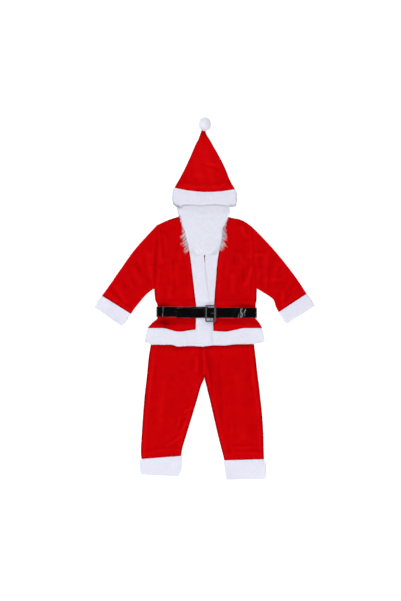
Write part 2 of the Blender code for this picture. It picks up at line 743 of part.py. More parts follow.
def wire(name, points, radius, finish, where, sides=2):
    """A round bar along the points, as a mesh with welded caps."""
    curve = bpy.data.curves.new(name + "_path", "CURVE")
    curve.dimensions = "3D"
    curve.bevel_depth = radius * MM
    curve.bevel_resolution = sides
    curve.use_fill_caps = True
    spline = curve.splines.new("POLY")
    spline.points.add(len(points) - 1)
    for point, place in zip(spline.points, points):
        point.co = (*[value * MM for value in place], 1)
    guide = bpy.data.objects.new(name + "_path", curve)
    where.objects.link(guide)
    graph = bpy.context.evaluated_depsgraph_get()
    mesh = bpy.data.meshes.new_from_object(guide.evaluated_get(graph))
    bpy.data.objects.remove(guide, do_unlink=True)
    shape = bmesh.new()
    shape.from_mesh(mesh)
    bmesh.ops.remove_doubles(shape, verts=shape.verts, dist=1e-6)
    shape.to_mesh(mesh)
    shape.free()
    mesh.name = name
    mesh.materials.clear()
    return add_object(name, mesh, finish, where)


def build_buckle(where, cutters):
    middle_x, middle_y = BUCKLE_MIDDLE
    width, height = BUCKLE_SIZE
    level = BUCKLE_BASE + BUCKLE_THICK / 2
    frame = box("buckle_frame", (middle_x, middle_y, level), (width, height, BUCKLE_THICK),
                SILVER, where)
    window = box("buckle_window", (middle_x, middle_y, level),
                 (width - 2 * BUCKLE_BAR, height - 2 * BUCKLE_BAR, 3 * BUCKLE_THICK), SILVER, cutters)
    cut(frame, window)
    reach = height / 2 - BUCKLE_BAR / 2
    bar = wire("buckle_centre_bar",
               [(middle_x, middle_y + reach, level), (middle_x, middle_y + reach, CENTRE_BAR_Z),
                (middle_x, middle_y - reach, CENTRE_BAR_Z), (middle_x, middle_y - reach, level)],
               CENTRE_BAR_RADIUS, SILVER, cutters)
    cut(frame, bar, "UNION")
    bevel = frame.modifiers.new("Bevel", "BEVEL")
    bevel.width = 0.5 * MM
    bevel.segments = 1
    bevel.angle_limit = math.radians(60)
    rest = BUCKLE_BASE + BUCKLE_THICK + PRONG_RADIUS + SEAM
    wire("buckle_prong",
         [(middle_x + 1.2, PRONG_Y, CENTRE_BAR_Z + CENTRE_BAR_RADIUS + PRONG_RADIUS + SEAM),
          (middle_x + 4.5, PRONG_Y, BUCKLE_BASE + 1.2), (middle_x + 9, PRONG_Y, rest - 0.5),
          (middle_x + 14, PRONG_Y, rest + 0.4), (middle_x + width / 2 - 1.5, PRONG_Y, rest)],
         PRONG_RADIUS, SILVER, where)


def hat_sag(x, v):
    """The seam between cone and brim sags in the middle, and the brim's lower edge less so."""
    return -HAT_SEAM_SAG * np.maximum(0, 1 - (x / HAT_HALF) ** 2) * (1 - 0.75 * v)


def brim_base(y, v):
    return BRIM_START + (BRIM_LIFT - BRIM_START) * float(smoothstep(0, 0.42, v))


def build_hat(where):
    def warp(x, y, t, v):
        return hat_sag(x, 0) * smoothstep(0.5, 1, v)

    def back_under(x, y, t, v):
        return BACK_CONE_RISE * smoothstep(0.88, 1, v)

    def front_under(x, y, t, v):
        bow = np.sin(math.pi * t)
        lie = HAT_PUFF * bow**0.8 * smoothstep(0.05, 0.4, v)
        folds = HAT_RIPPLE * np.sin(0.11 * x + 0.03 * y) * bow * smoothstep(0.3, 0.6, v)
        free = np.maximum(lie + folds, 0) * (1 - smoothstep(0.9, 1, v))
        return LAYER + free + FRONT_CONE_RISE * smoothstep(0.86, 1, v)

    panel("hat_back", HAT, even(12), 60, back_under, VELVET, RED, where, warp=warp)
    panel("hat_front", HAT, even(12), 18, front_under, VELVET, RED, where, warp=warp)
    tube("hat_brim", HAT_BRIM, 12, 20, brim_base, plush_puff, CUFF_PLUSH, WHITE, where,
         sag=hat_sag, low_columns=12)
    build_pompom(where)


def build_pompom(where):
    """A plush ball of short three-sided locks on a round core, with a flat underside."""
    mesh = bpy.data.meshes.new("pompom")
    shape = bmesh.new()
    bmesh.ops.create_icosphere(shape, subdivisions=2, radius=1)
    corners = {vertex.index for vertex in shape.verts}
    bmesh.ops.subdivide_edges(shape, edges=shape.edges[:], cuts=1, use_grid_fill=True)
    shape.verts.index_update()
    for vertex in shape.verts:
        vertex.co.normalize()
    tufts = [face for face in shape.faces
             if all(vertex.index not in corners for vertex in face.verts)
             and face.calc_center_median().z > LOWEST_LOCK]
    for face in tufts:
        outward = face.calc_center_median().normalized()
        tip = bmesh.ops.poke(shape, faces=[face])["verts"][0]
        tip.co = outward * (1 + POMPOM_LOCK / POMPOM_CORE[0])
    for vertex in shape.verts:
        place = [centre + radius * value for centre, radius, value
                 in zip(POMPOM_MIDDLE, POMPOM_CORE, vertex.co)]
        place[2] = max(place[2], 0.0)
        vertex.co = [value * MM for value in place]
    bmesh.ops.recalc_face_normals(shape, faces=shape.faces)
    shape.to_mesh(mesh)
    shape.free()
    add_object("pompom", mesh, WHITE, where)


def inset(outline, distance):
    """The outline moved inwards, square to itself, towards x = 0."""
    outline = np.array(outline, float)
    ahead = np.gradient(outline, axis=0)
    ahead /= np.linalg.norm(ahead, axis=1)[:, None]
    inward = np.stack([-ahead[:, 1], ahead[:, 0]], axis=1)
    inward *= np.where(inward[:, :1] * outline[:, :1] < 0, 1, -1)
    return outline + inward * distance


def beard_under(x, y, t, v):
    return BEARD_LIFT * smoothstep(*ONTO_BANDS, y)


def beard_pile(x, y, t, v):
    """Thin under the brim, thick over the chest, and low at the sides and tip."""
    body = UNDER_BRIM + (1 - UNDER_BRIM) * smoothstep(410, 340, y)
    return body * rounded_edges(t, 0.3, 0.4) * (0.5 + 0.5 * smoothstep(1, 0.86, v))


def build_beard(where):
    room = FRINGE_STRIP + 2.5 * SEAM
    left = inset([row[:2] for row in BEARD], room)
    right = inset([row[2:] for row in BEARD], room)
    table = np.hstack([left, right])
    panel("beard", table, even(12), 14, beard_under, BEARD_DEPTH, HAIR, where, pile=beard_pile)
    build_fringe("beard_fringe_left", [row[:2] for row in BEARD[1:]], -1, 17, where)
    build_fringe("beard_fringe_right", [row[2:] for row in BEARD[1:]], 1, 43, where)


def build_fringe(name, outline, outward, seed, where):
    """Locks down one side of the beard, rooted in a narrow strip along its edge."""
    chance = np.random.default_rng(seed)
    outline = np.array(outline, float)
    run = np.concatenate([[0], np.cumsum(np.linalg.norm(np.diff(outline, axis=0), axis=1))])
    places = np.linspace(0, run[-1] - 3, STRIP_STEPS + 1)
    edge = cubic(run, outline, places)
    ahead = np.gradient(edge, axis=0)
    ahead /= np.linalg.norm(ahead, axis=1)[:, None]
    aside = np.stack([-ahead[:, 1], ahead[:, 0]], axis=1)
    aside *= np.where(aside[:, :1] * outward > 0, 1, -1)
    floor = BEARD_LIFT * smoothstep(*ONTO_BANDS, edge[:, 1]) + STRIP_LIFT
    shape = bmesh.new()
    stations = []
    for place, side, low in zip(edge, aside, floor):
        inner = place - side * FRINGE_STRIP
        high = low + STRIP_THICK
        ring = [(*inner, low), (*place, low), (*place, high), (*inner, high)]
        stations.append([shape.verts.new([value * MM for value in point]) for point in ring])
    shape.faces.new(stations[0])
    shape.faces.new(stations[-1][::-1])
    for index, (here, after) in enumerate(zip(stations, stations[1:])):
        for corner in (0, 2, 3):
            around = (corner + 1) % 4
            shape.faces.new((here[corner], here[around], after[around], after[corner]))
        root = (here[1], here[2], after[2], after[1])
        if index % 2 or edge[index][1] > LOCKS_FROM:
            shape.faces.new(root)
            continue
        add_lock(shape, root, edge[index], aside[index], ahead[index], floor[index], chance)
    bmesh.ops.recalc_face_normals(shape, faces=shape.faces)
    mesh = bpy.data.meshes.new(name)
    shape.to_mesh(mesh)
    shape.free()
    add_object(name, mesh, HAIR, where)


def add_lock(shape, root, place, aside, ahead, floor, chance):
    """One lock: from its root face out and down the beard, narrowing to a point."""
    length = LOCK_LENGTH * chance.uniform(*LOCK_SPREAD)
    lean = chance.uniform(*LOCK_LEAN)
    heading = aside + ahead * lean
    heading /= np.linalg.norm(heading)
    middle = place + (aside * 0.8 + ahead * 0.5) * length * 0.38
    tip = middle + heading * length * 0.62
    half_width, half_height = LOCK_HALF
    level = floor + 1.6
    knots = []
    for sideways, up in ((-1, -1), (-1, 1), (1, 1), (1, -1)):
        x, y = middle + ahead * half_width * sideways
        z = level + half_height * up
        knots.append(shape.verts.new((x * MM, y * MM, z * MM)))
    end = shape.verts.new((tip[0] * MM, tip[1] * MM, level * MM))
    for corner in range(4):
        around = (corner + 1) % 4
        shape.faces.new((root[corner], root[around], knots[around], knots[corner]))
        shape.faces.new((knots[corner], knots[around], end))


def main():
    clear_scene()
    parts = collection("santa_suit")
    cutters = collection("cutters", hidden=True)
    build_trousers(parts)
    build_jacket(parts)
    build_belt(parts, cutters)
    build_beard(parts)
    build_hat(parts)


main()
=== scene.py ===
# %% [markdown]
# # A child's Santa suit, laid out flat
# The set is a pointed hat with a pompom, a beard, a velvet jacket with plush trim, a belt and
# trousers, laid face up on a table. The pack holds every piece as a plain solid; here each one
# gets its finer form and its real finish. Sizes are in millimetres, and one factor turns them
# into Blender's metres. Left is the viewer's left, which is -X, and the hat is at +Y.

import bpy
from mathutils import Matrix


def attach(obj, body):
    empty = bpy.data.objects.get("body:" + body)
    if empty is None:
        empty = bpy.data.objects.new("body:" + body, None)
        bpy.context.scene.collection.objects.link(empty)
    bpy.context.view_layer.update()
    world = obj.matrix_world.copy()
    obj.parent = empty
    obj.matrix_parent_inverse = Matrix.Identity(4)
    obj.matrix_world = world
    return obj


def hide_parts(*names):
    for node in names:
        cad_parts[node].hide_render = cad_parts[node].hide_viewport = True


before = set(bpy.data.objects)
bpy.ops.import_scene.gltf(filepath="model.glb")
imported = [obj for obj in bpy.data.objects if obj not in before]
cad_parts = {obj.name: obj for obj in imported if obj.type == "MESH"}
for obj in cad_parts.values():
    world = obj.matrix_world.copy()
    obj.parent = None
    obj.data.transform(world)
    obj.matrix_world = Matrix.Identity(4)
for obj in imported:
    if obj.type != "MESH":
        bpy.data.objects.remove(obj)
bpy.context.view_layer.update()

import math

import bmesh
import bpy
import numpy as np

MM = 0.001
print("nodes:", len(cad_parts))

# %% [markdown]
# ## Small tools
# Cloth that lies flat is a height over a plane: every piece is a grid of points, and the height
# at each one makes it look like cloth. So the tools are functions of x and y that work on whole
# arrays: a soft step, a smooth random surface, and a ridge along a line.


# %% Soft steps
def smoothstep(low, high, value):
    """0 before low, 1 past high, and a soft slope between; low may be the larger one."""
    part = np.clip((value - low) / (high - low), 0, 1)
    return part * part * (3 - 2 * part)


def unit(vectors):
    """Vectors of length one."""
    return vectors / np.maximum(np.linalg.norm(vectors, axis=-1, keepdims=True), 1e-9)


print("half way up a soft step:", smoothstep(0, 1, 0.5))


# %% Random surface
def wobble(x, y, size, seed):
    """A smooth random surface between -1 and 1, with bumps about size wide."""
    lattice = np.random.default_rng(seed).uniform(-1, 1, (64, 64))
    column, row = np.floor(x / size).astype(int), np.floor(y / size).astype(int)
    across, up = x / size - column, y / size - row
    across, up = across**2 * (3 - 2 * across), up**2 * (3 - 2 * up)
    corner = [[lattice[(column + i) % 64, (row + j) % 64] for i in (0, 1)] for j in (0, 1)]
    near, far = (pair[0] * (1 - across) + pair[1] * across for pair in corner)
    return near * (1 - up) + far * up


print("a bump of the random surface:", round(float(wobble(np.array(3.0), np.array(4.0), 10, 1)), 3))


# %% Ridges and marks
def beside(line, x, y):
    """How far points are along a line and off it, and the line's length."""
    from_x, from_y, to_x, to_y = line
    run_x, run_y = to_x - from_x, to_y - from_y
    length = math.hypot(run_x, run_y)
    ahead = ((x - from_x) * run_x + (y - from_y) * run_y) / length
    aside = ((x - from_x) * run_y - (y - from_y) * run_x) / length
    return ahead, aside, length


def folds(table, x, y):
    """Height of soft ridges. Columns: from x, y, to x, y, half width, height."""
    total = np.zeros(np.broadcast(x, y).shape)
    for *line, width, height in table:
        ahead, aside, length = beside(line, x, y)
        ends = smoothstep(-width, width, ahead) * smoothstep(-width, width, length - ahead)
        total += height * ends * np.exp(-((aside / width) ** 2))
    return total


def creases(table, x, y, seed):
    """Like folds, but each line wanders a little, swells in the middle and fades at its ends."""
    across = x + 4 * wobble(x, y, 70, seed) + 0.8 * wobble(x, y, 18, seed + 1)
    up = y + 4 * wobble(x, y, 75, seed + 2)
    total = np.zeros(np.broadcast(x, y).shape)
    for *line, width, height in table:
        ahead, aside, length = beside(line, across, up)
        part = np.clip(ahead / length, 0, 1)
        total += height * (4 * part * (1 - part)) ** 0.7 * np.exp(-((aside / width) ** 2))
    return total


def nap_light_and_shade_marks(table, x, y):
    """Soft marks of pressed nap and of painted light and shade. Columns: x, y, half width, half height, turn
    in degrees, change.
    """
    total = np.zeros(np.broadcast(x, y).shape)
    for at_x, at_y, wide, high, turn, change in table:
        c, s = math.cos(math.radians(turn)), math.sin(math.radians(turn))
        along_it, off_it = (x - at_x) * c + (y - at_y) * s, (y - at_y) * c - (x - at_x) * s
        total += change * np.exp(-((along_it / wide) ** 2) - (off_it / high) ** 2)
    return 0.75 * total


print("on top of a fold:", float(folds([(0, 0, 100, 0, 10, 2.5)], np.array(50.0), np.array(0.0))), "mm")


# %% Smooth lines through tables
def cubic(knots, values, wanted):
    """A cubic through the values that never overshoots between two knots."""
    step = np.diff(knots)[:, None]
    slope = np.diff(values, axis=0) / step
    before, after = slope[:-1], slope[1:]
    same = before * after > 0
    mean = np.where(same, 2 * before * after / np.where(same, before + after, 1), 0)
    tangent = np.vstack([slope[:1], mean, slope[-1:]])
    left = np.clip(np.searchsorted(knots, wanted, side="right") - 1, 0, len(knots) - 2)
    span = step[left]
    part = ((wanted - knots[left]) / span[:, 0])[:, None]
    return (
        (2 * part**3 - 3 * part**2 + 1) * values[left]
        + (part**3 - 2 * part**2 + part) * span * tangent[left]
        + (3 * part**2 - 2 * part**3) * values[left + 1]
        + (part**3 - part**2) * span * tangent[left + 1]
    )


def along(table, x):
    """The height of a smooth line through the table's points."""
    points = np.array(table, float)
    inside = np.clip(np.ravel(x), points[0, 0], points[-1, 0])
    return cubic(points[:, 0], points[:, 1:2], inside).reshape(np.shape(x))


def run_of(points):
    """The distance along a line at each of its points."""
    return np.concatenate([[0], np.cumsum(np.linalg.norm(np.diff(points, axis=0), axis=1))])


print("a line half way:", float(along([(0, 0), (10, 4), (20, 8)], np.array([5.0]))[0]), "mm")


# %% [markdown]
# ## Grids and shells
# A sewn piece is a short table of sections, from its top end to its bottom end: outer x, y and
# inner x, y. A cubic runs through them, and points are spread between, with a few extra ones
# close to each edge, where cloth turns over. A shell gives such a grid a thickness. A Solidify
# modifier could, but worked out here the wall also thins towards each edge, which rounds it.


# %% Spread points over a piece
EDGE_STEPS = (0.8, 2.2)      # how far in from an edge its extra points are


def spread(length, pitch, near):
    """Places along a length about a pitch apart, with extra ones near both ends."""
    body = np.linspace(0, length, max(2, round(length / pitch)) + 1)
    clear = max(near) * 1.2
    inside = body[(body > clear) & (body < length - clear)]
    return np.sort(np.concatenate([[0, length], near, [length - step for step in near], inside]))


def lay_rows(sections, pitch, near, corners=()):
    """Rows through the sections, the share of the way along for each, and the whole length."""
    table = np.array(sections, float)
    run = run_of((table[:, :2] + table[:, 2:4]) / 2)
    places = np.unique(np.concatenate([spread(run[-1], pitch, near), run[list(corners)]]))
    rows = np.zeros((len(places), 4))
    bounds = [0, *corners, len(table) - 1]
    for first, last in zip(bounds, bounds[1:]):
        here = (places >= run[first]) & (places <= run[last])
        rows[here] = cubic(run[first:last + 1], table[first:last + 1], places[here])
    return rows, places / run[-1], run[-1]


def lay_grid(sections, pitch, near=EDGE_STEPS, corners=()):
    """Grids x, y, t across and v along a flat piece, and each point's distance from the edge."""
    rows, v, length = lay_rows(sections, pitch, near, corners)
    width = np.linalg.norm(rows[:, 2:] - rows[:, :2], axis=1)
    t = (spread(width.max(), pitch, near) / width.max())[None, :] + np.zeros((len(rows), 1))
    v = v[:, None] + np.zeros_like(t)
    x = rows[:, :1] * (1 - t) + rows[:, 2:3] * t
    y = rows[:, 1:2] * (1 - t) + rows[:, 3:4] * t
    edge = np.minimum(np.minimum(t, 1 - t) * width[:, None], np.minimum(v, 1 - v) * length)
    return x, y, t, v, edge


def round_off(edge, radius, least):
    """Share of the thickness at a distance from the edge: a quarter circle."""
    part = np.clip(edge / radius, 0, 1)
    return least + (1 - least) * np.sqrt(1 - (1 - part) ** 2)


print("places along 40 mm:", spread(40.0, 10, EDGE_STEPS).tolist())


# %% Turn points into a mesh
TABLE_Z = 0.02
LOWEST = (-np.inf, -np.inf, TABLE_Z)        # nothing goes through the table


def add_mesh(name, points, faces, finish, normals=None):
    """A mesh object from points in millimetres and lists of faces with equal sides each."""
    mesh = bpy.data.meshes.new(name)
    mesh.vertices.add(len(points))
    mesh.vertices.foreach_set("co", (np.maximum(points, LOWEST).astype(np.float32) * MM).ravel())
    loops = np.concatenate([np.asarray(group, np.int32).ravel() for group in faces])
    sizes = np.concatenate([np.full(len(group), len(group[0]), np.int32) for group in faces])
    starts = np.concatenate([[0], np.cumsum(sizes)[:-1]]).astype(np.int32)
    mesh.loops.add(len(loops))
    mesh.loops.foreach_set("vertex_index", loops)
    mesh.polygons.add(len(sizes))
    mesh.polygons.foreach_set("loop_start", starts)
    mesh.polygons.foreach_set("use_smooth", np.full(len(sizes), True))
    mesh.update(calc_edges=True)
    mesh.validate()
    if normals is not None:
        mesh.normals_split_custom_set_from_vertices(normals)
    made = bpy.data.objects.new(name, mesh)
    mesh.materials.append(finish)
    bpy.context.scene.collection.objects.link(made)
    return made


def paint(made, layer, values):
    """A value for each point of a mesh, for its material to read."""
    field = made.data.attributes.new(layer, "FLOAT", "POINT")
    field.data.foreach_set("value", np.asarray(values, np.float32).ravel())


def turn_outwards(piece):
    """Point every face of a closed mesh outwards."""
    shape = bmesh.new()
    shape.from_mesh(piece.data)
    bmesh.ops.recalc_face_normals(shape, faces=shape.faces)
    shape.to_mesh(piece.data)
    shape.free()
    return piece


print("nothing lies lower than", TABLE_Z, "mm")


# %% Faces over a grid
def quads_over(rows, columns, closed=False):
    """Four-sided faces over rows of points; closed joins the last column to the first."""
    row, column = np.mgrid[0:rows - 1, 0:columns if closed else columns - 1]
    here = row * columns + column
    beside_it = row * columns + (column + 1) % columns
    return np.stack([here, beside_it, beside_it + columns, here + columns], axis=-1).reshape(-1, 4)


def capped(rows, columns):
    """Faces of a closed tube of rings, with a cap at both ends."""
    ring = np.arange(columns)
    return [quads_over(rows, columns, True), ring[None, ::-1], (ring + (rows - 1) * columns)[None, :]]


print("faces over 3 x 4 points:", len(quads_over(3, 4)))


# %% Give a grid a wall
def grid_normals(points, closed=False):
    """Unit normals of a grid of points, on the side that is up (or out, for a ring)."""
    if closed:
        wrapped = np.concatenate([points[:, -1:], points, points[:, :1]], axis=1)
        across = (wrapped[:, 2:] - wrapped[:, :-2]) / 2
    else:
        across = np.gradient(points, axis=1)
    normal = unit(np.cross(across, np.gradient(points, axis=0)))
    top = points[..., 2] >= np.median(points[..., 2]) if closed else slice(None)
    return -normal if normal[..., 2][top].mean() < 0 else normal


def wall_sides(outer, wall, full, closed=False):
    """Both sides of cloth with this outer side. full is the share of the wall at each point."""
    normal = grid_normals(outer, closed)
    half = normal * (wall * full)[..., None] / 2
    middle = outer - normal * wall / 2
    return middle + half, middle - half


def join_sides(name, upper, lower, finish, closed=False):
    """A closed mesh from two grids of points, with a rim from one to the other."""
    rows, columns = upper.shape[:2]
    count = rows * columns
    grid = np.arange(count).reshape(rows, columns)
    skin = quads_over(rows, columns, closed)
    loops = [grid[0], grid[-1]] if closed else [
        np.concatenate([grid[0], grid[1:, -1], grid[-1, -2::-1], grid[-2:0:-1, 0]])]
    rims = []
    for here in loops:
        after = np.roll(here, -1)
        rims.append(np.stack([here, after, after + count, here + count], axis=-1))
    points = np.concatenate([upper.reshape(-1, 3), lower.reshape(-1, 3)])
    return turn_outwards(add_mesh(name, points, [skin, skin[:, ::-1] + count, *rims], finish))


def shell(name, outer, wall, finish, full, closed=False, tone=None, layer="nap"):
    """A piece of cloth from the grid of its outer side, with a painted value for its material."""
    made = join_sides(name, *wall_sides(outer, wall, full, closed), finish, closed)
    if tone is not None:
        paint(made, layer, np.tile(tone.ravel(), 2))
    return made


square = np.stack([*np.meshgrid([0.0, 1, 2], [0.0, 1, 2]), np.zeros((3, 3))], axis=-1)
print("a flat grid's normal:", grid_normals(square)[1, 1].tolist())

# %% [markdown]
# ## How high things lie
# The layers are, from the table up: trousers, the jacket's back over the belt's back strap and
# the trousers' top, the jacket's fronts, the belt's front strap, the beard and the hat's brim.
# A cloth simulation could drop each on the one below, but it would never fall the same way
# twice. These functions are the ones that the solids were built with, so every shell lies on
# its solid.

# %% Layers
VELVET = 1.5                                # cloth with its nap
SEAM = 0.3                                  # air left between two pieces
LAYER = VELVET + SEAM
CUFF_PLUSH = 4.5                            # plush with its pile
BAND_PLUSH = 4.0
BACK_PLUSH = 3.5
BELT_LIFT = 2.3                             # the jacket's back over the belt's back strap
HEM_LIFT = 6.0                              # the hem over the trousers' top
BACK_OVER_HEM = HEM_LIFT + 0.4
FRONT_HEM = HEM_LIFT + BACK_PLUSH + SEAM    # underside of the fronts' hem
BAND_STEP = 0.6                             # the upper front band's extra rise onto the lower one
BEARD_LIFT = 6.3                            # the beard over the jacket's fronts
BELT_TOP, BELT_BOTTOM = -29.0, -90.0        # y between which the belt lies
HEM_TOP, HEM_END = -133.0, -214.0           # y of the hem's seam and of its edge


def back_lift(y):
    """Underside of the jacket's back."""
    over_belt = BELT_LIFT * smoothstep(-5, BELT_TOP + 4, y)
    return over_belt + (BACK_OVER_HEM - BELT_LIFT) * smoothstep(BELT_BOTTOM - 14, -130, y)


def belt_press(y, above=22):
    """1 where the belt presses on the jacket, and 0 away from it."""
    return smoothstep(above, BELT_TOP + 4, y) * smoothstep(BELT_BOTTOM - 34, BELT_BOTTOM - 16, y)


def front_lift(y):
    """Underside of the jacket's fronts."""
    onto_hem = smoothstep(BELT_BOTTOM - 14, -130, y)
    return back_lift(y) + LAYER + (FRONT_HEM - BACK_OVER_HEM - LAYER) * onto_hem


def band_thickness(y):
    """Share of a front band's thickness that the belt leaves."""
    return 1 - 0.375 * belt_press(y)


def upper_rise(y):
    """How far the left front band rises onto the right one."""
    return (BAND_PLUSH * band_thickness(y) + BAND_STEP) * smoothstep(194, 168, y)


print("a front lies", round(float(front_lift(np.array(100.0))), 2), "mm up, its hem", FRONT_HEM)

# %% [markdown]
# ## Colours and materials
# Screen colours are sRGB, and shaders want linear light, so one function turns a hex value into
# linear. A material could be wired by hand in the Shader Editor. Here one function adds a node:
# its settings, its sockets and its links all come from one table, so a set-up reads like a list.


# %% Colour and node helpers
def linear(hex_colour):
    """An sRGB hex colour as linear RGBA."""
    values = [int(hex_colour[place:place + 2], 16) / 255 for place in (1, 3, 5)]
    return (*[v / 12.92 if v <= 0.04045 else ((v + 0.055) / 1.055) ** 2.4 for v in values], 1)


def fill(node, settings):
    """Set a node's own settings and its sockets, by name or number, to a value or a source."""
    for name, value in settings.items():
        if name == "stops":
            points = node.color_ramp.elements
            while len(points) < len(value):
                points.new(0.5)
            for point, (place, colour) in zip(points, value):
                point.position, point.color = place, linear(colour)
        elif isinstance(name, str) and name not in node.inputs:
            setattr(node, name, value)
        elif isinstance(value, bpy.types.NodeSocket):
            node.id_data.links.new(value, node.inputs[name])
        else:
            node.inputs[name].default_value = value


def add_node(tree, kind, settings, out=0):
    """A node with its settings and links. Returns one of its outputs."""
    node = tree.nodes.new("ShaderNode" + kind)
    fill(node, settings)
    return node.outputs[out]


def new_material(name, settings):
    """A Principled material with its tree and shader, and the place on the object."""
    made = bpy.data.materials.new(name)
    made.use_nodes = True
    tree = made.node_tree
    shader = tree.nodes["Principled BSDF"]
    fill(shader, settings)
    return made, tree, shader, add_node(tree, "TexCoord", {}, "Object")


print("Santa red in linear light:", [round(v, 3) for v in linear("#c40308")])

# %% [markdown]
# ### Polyester velvet
# The red cloth is polyester velvet, knitted with loops that are sheared and brushed up: short
# upright fibres on a thin backing. A plain red with a rough surface would look like paint.
# Velvet looks deep and even from above, because light sinks between the fibres. Where the cloth
# tilts, or the fibres lie down along a crease, it catches the light and turns paler. That is
# what the sheen lobe gives. A value painted on each point adds crushed streaks of the nap, and
# painted light and shade too: a painted highlight on crests, painted shade in hollows and along
# free edges, and painted shadows by the belt, under the hem, in the slit below the beard and
# under the pompom. Three noises of real sizes are added to it before a ramp gives the colour:
# fibres, the mottle of pressed nap, and broad patches.

# %% Velvet
FIBRE_MM = 0.9      # real fibre tufts are 0.3 mm; drawn coarser so that they show
MOTTLE_MM = 9
PATCH_MM = 60
FIBRE_HEIGHT = 0.35
velvet, tree, shader, place = new_material("polyester_velvet", {
    "Roughness": 0.85, "IOR": 1.46, "Specular IOR Level": 0.02,
    "Sheen Weight": 0.12, "Sheen Roughness": 0.5, "Sheen Tint": linear("#ff1e18")})
mottle = add_node(tree, "TexNoise", {"Vector": place, "Scale": 1 / (MOTTLE_MM * MM), "Detail": 5.0,
                                     "Roughness": 0.62})
patches = add_node(tree, "TexNoise", {"Vector": place, "Scale": 1 / (PATCH_MM * MM), "Detail": 1.0})
fibres = add_node(tree, "TexNoise", {"Vector": place, "Scale": 1 / (FIBRE_MM * MM), "Detail": 2.0})
# the painted value: nap streaks, with a painted highlight on crests, painted shade in hollows and at free
# edges, and painted shadows
tone = add_node(tree, "Attribute", {"attribute_name": "nap"}, "Fac")
for pattern, share in ((mottle, 0.13), (patches, 0.12), (fibres, 0.16)):
    tone = add_node(tree, "Math", {"operation": "MULTIPLY_ADD", 0: pattern, 1: share, 2: tone})
colour = add_node(tree, "ValToRGB", {"Fac": tone, "stops": [
    (0.13, "#3a0002"), (0.43, "#9e0003"), (0.68, "#c20005"), (0.98, "#dc080d")]})
bump = add_node(tree, "Bump", {"Height": fibres, "Strength": 0.5, "Distance": FIBRE_HEIGHT * MM})
fill(shader, {"Base Color": colour, "Normal": bump})
print("velvet fibres every", FIBRE_MM, "mm")

# %% [markdown]
# ### Polyester plush
# The trims are white polyester plush, a knitted pile that is sheared short. Millions of matt
# fibres scatter the light, so it looks soft and even, with a cool cast and greyer hollows. A bump
# alone would leave it smooth in outline, so the tufts' geometry makes most of the look. The
# material adds a faint sheen, slow changes of grey, and a painted value of light and shade:
# painted shade darkens it, and painted light, below zero, makes it paler.

# %% Plush
PLUSH_LUMP_MM = 9
TUFT_MM = 1.6       # real tufts are 0.8 mm; drawn coarser so that they show
plush, tree, shader, place = new_material("polyester_plush", {
    "Roughness": 0.9, "IOR": 1.46, "Specular IOR Level": 0.15,
    "Sheen Weight": 0.35, "Sheen Roughness": 0.5, "Sheen Tint": linear("#f0f0ff")})
uneven_grey = add_node(tree, "TexNoise", {"Vector": place, "Scale": 1 / (PLUSH_LUMP_MM * MM), "Detail": 3.0})
# painted shade above zero and painted light below zero, at the brim's rolled edge and on the pompom
shaded = add_node(tree, "Attribute", {"attribute_name": "grey"}, "Fac")
lighter = add_node(tree, "Math", {"operation": "MULTIPLY_ADD", 0: uneven_grey, 1: 0.4, 2: 0.55})
darker = add_node(tree, "Math", {"operation": "MULTIPLY_ADD", 0: shaded, 1: -0.6, 2: lighter})
colour = add_node(tree, "ValToRGB", {"Fac": darker, "stops": [
    (0.1, "#77778a"), (0.68, "#eeeefc"), (0.85, "#f5f5ff")]})
tufts = add_node(tree, "TexNoise", {"Vector": place, "Scale": 1 / (TUFT_MM * MM), "Detail": 2.0})
bump = add_node(tree, "Bump", {"Height": tufts, "Strength": 0.4, "Distance": 0.5 * MM})
fill(shader, {"Base Color": colour, "Normal": bump})
print("plush tufts every", TUFT_MM, "mm")

# %% [markdown]
# ### Acrylic beard fur
# The beard is acrylic fur, knitted with a long pile and combed down. Each fibre is smooth, so it
# shines a little along its length. Blender's hair shader suits curves, but these hairs are
# meshes, so it is a cloth shader with a bump stretched along the fibres. Where the fur is thin,
# at the beard's tip and in the side wisps, light comes through it; that is painted light, which
# makes its colour paler there and lifts the shade between the hairs.

# %% Beard fur
LOCK_MM = 14
STRAND_MM = (0.9, 16, 3)      # across, along and up; real fibres are 0.05 mm wide, too fine to show
beard_fur, tree, shader, place = new_material("acrylic_beard_fur", {
    "Roughness": 0.55, "IOR": 1.5, "Specular IOR Level": 0.3,
    "Sheen Weight": 0.15, "Sheen Roughness": 0.4, "Sheen Tint": linear("#ffffff")})
locks = add_node(tree, "TexNoise", {"Vector": place, "Scale": 1 / (LOCK_MM * MM), "Detail": 2.0})
thin = add_node(tree, "Attribute", {"attribute_name": "thin"}, "Fac")
paler = add_node(tree, "Math", {"operation": "MULTIPLY_ADD", 0: thin, 1: 0.36, 2: locks})
colour = add_node(tree, "ValToRGB", {"Fac": paler, "stops": [
    (0.3, "#e6e7f4"), (0.7, "#ecedf8"), (1.0, "#f4f5ff")]})
drawn = add_node(tree, "Mapping", {"Vector": place, "Scale": [1 / (size * MM) for size in STRAND_MM]})
strands = add_node(tree, "TexNoise", {"Vector": drawn, "Scale": 1.0, "Detail": 2.0})
bump = add_node(tree, "Bump", {"Height": strands, "Strength": 0.5, "Distance": 0.5 * MM})
fill(shader, {"Base Color": colour, "Normal": bump})
print("beard strands (mm):", STRAND_MM)

# %% [markdown]
# ### Gloss PVC and nickel plating
# The belt is black PVC film on a fabric, calendered to a gloss. To the eye that is a sharp mirror
# under a clear top layer, with a fine pressed grain and a few duller smears. The buckle is
# die-cast zinc with a bright nickel plating: a dark grey mirror that handling dulls in places.
# It is a metal, so it keeps the default IOR. Each needs only a noise on its roughness, and the
# vinyl a grain, since what they mirror makes the rest of the look.

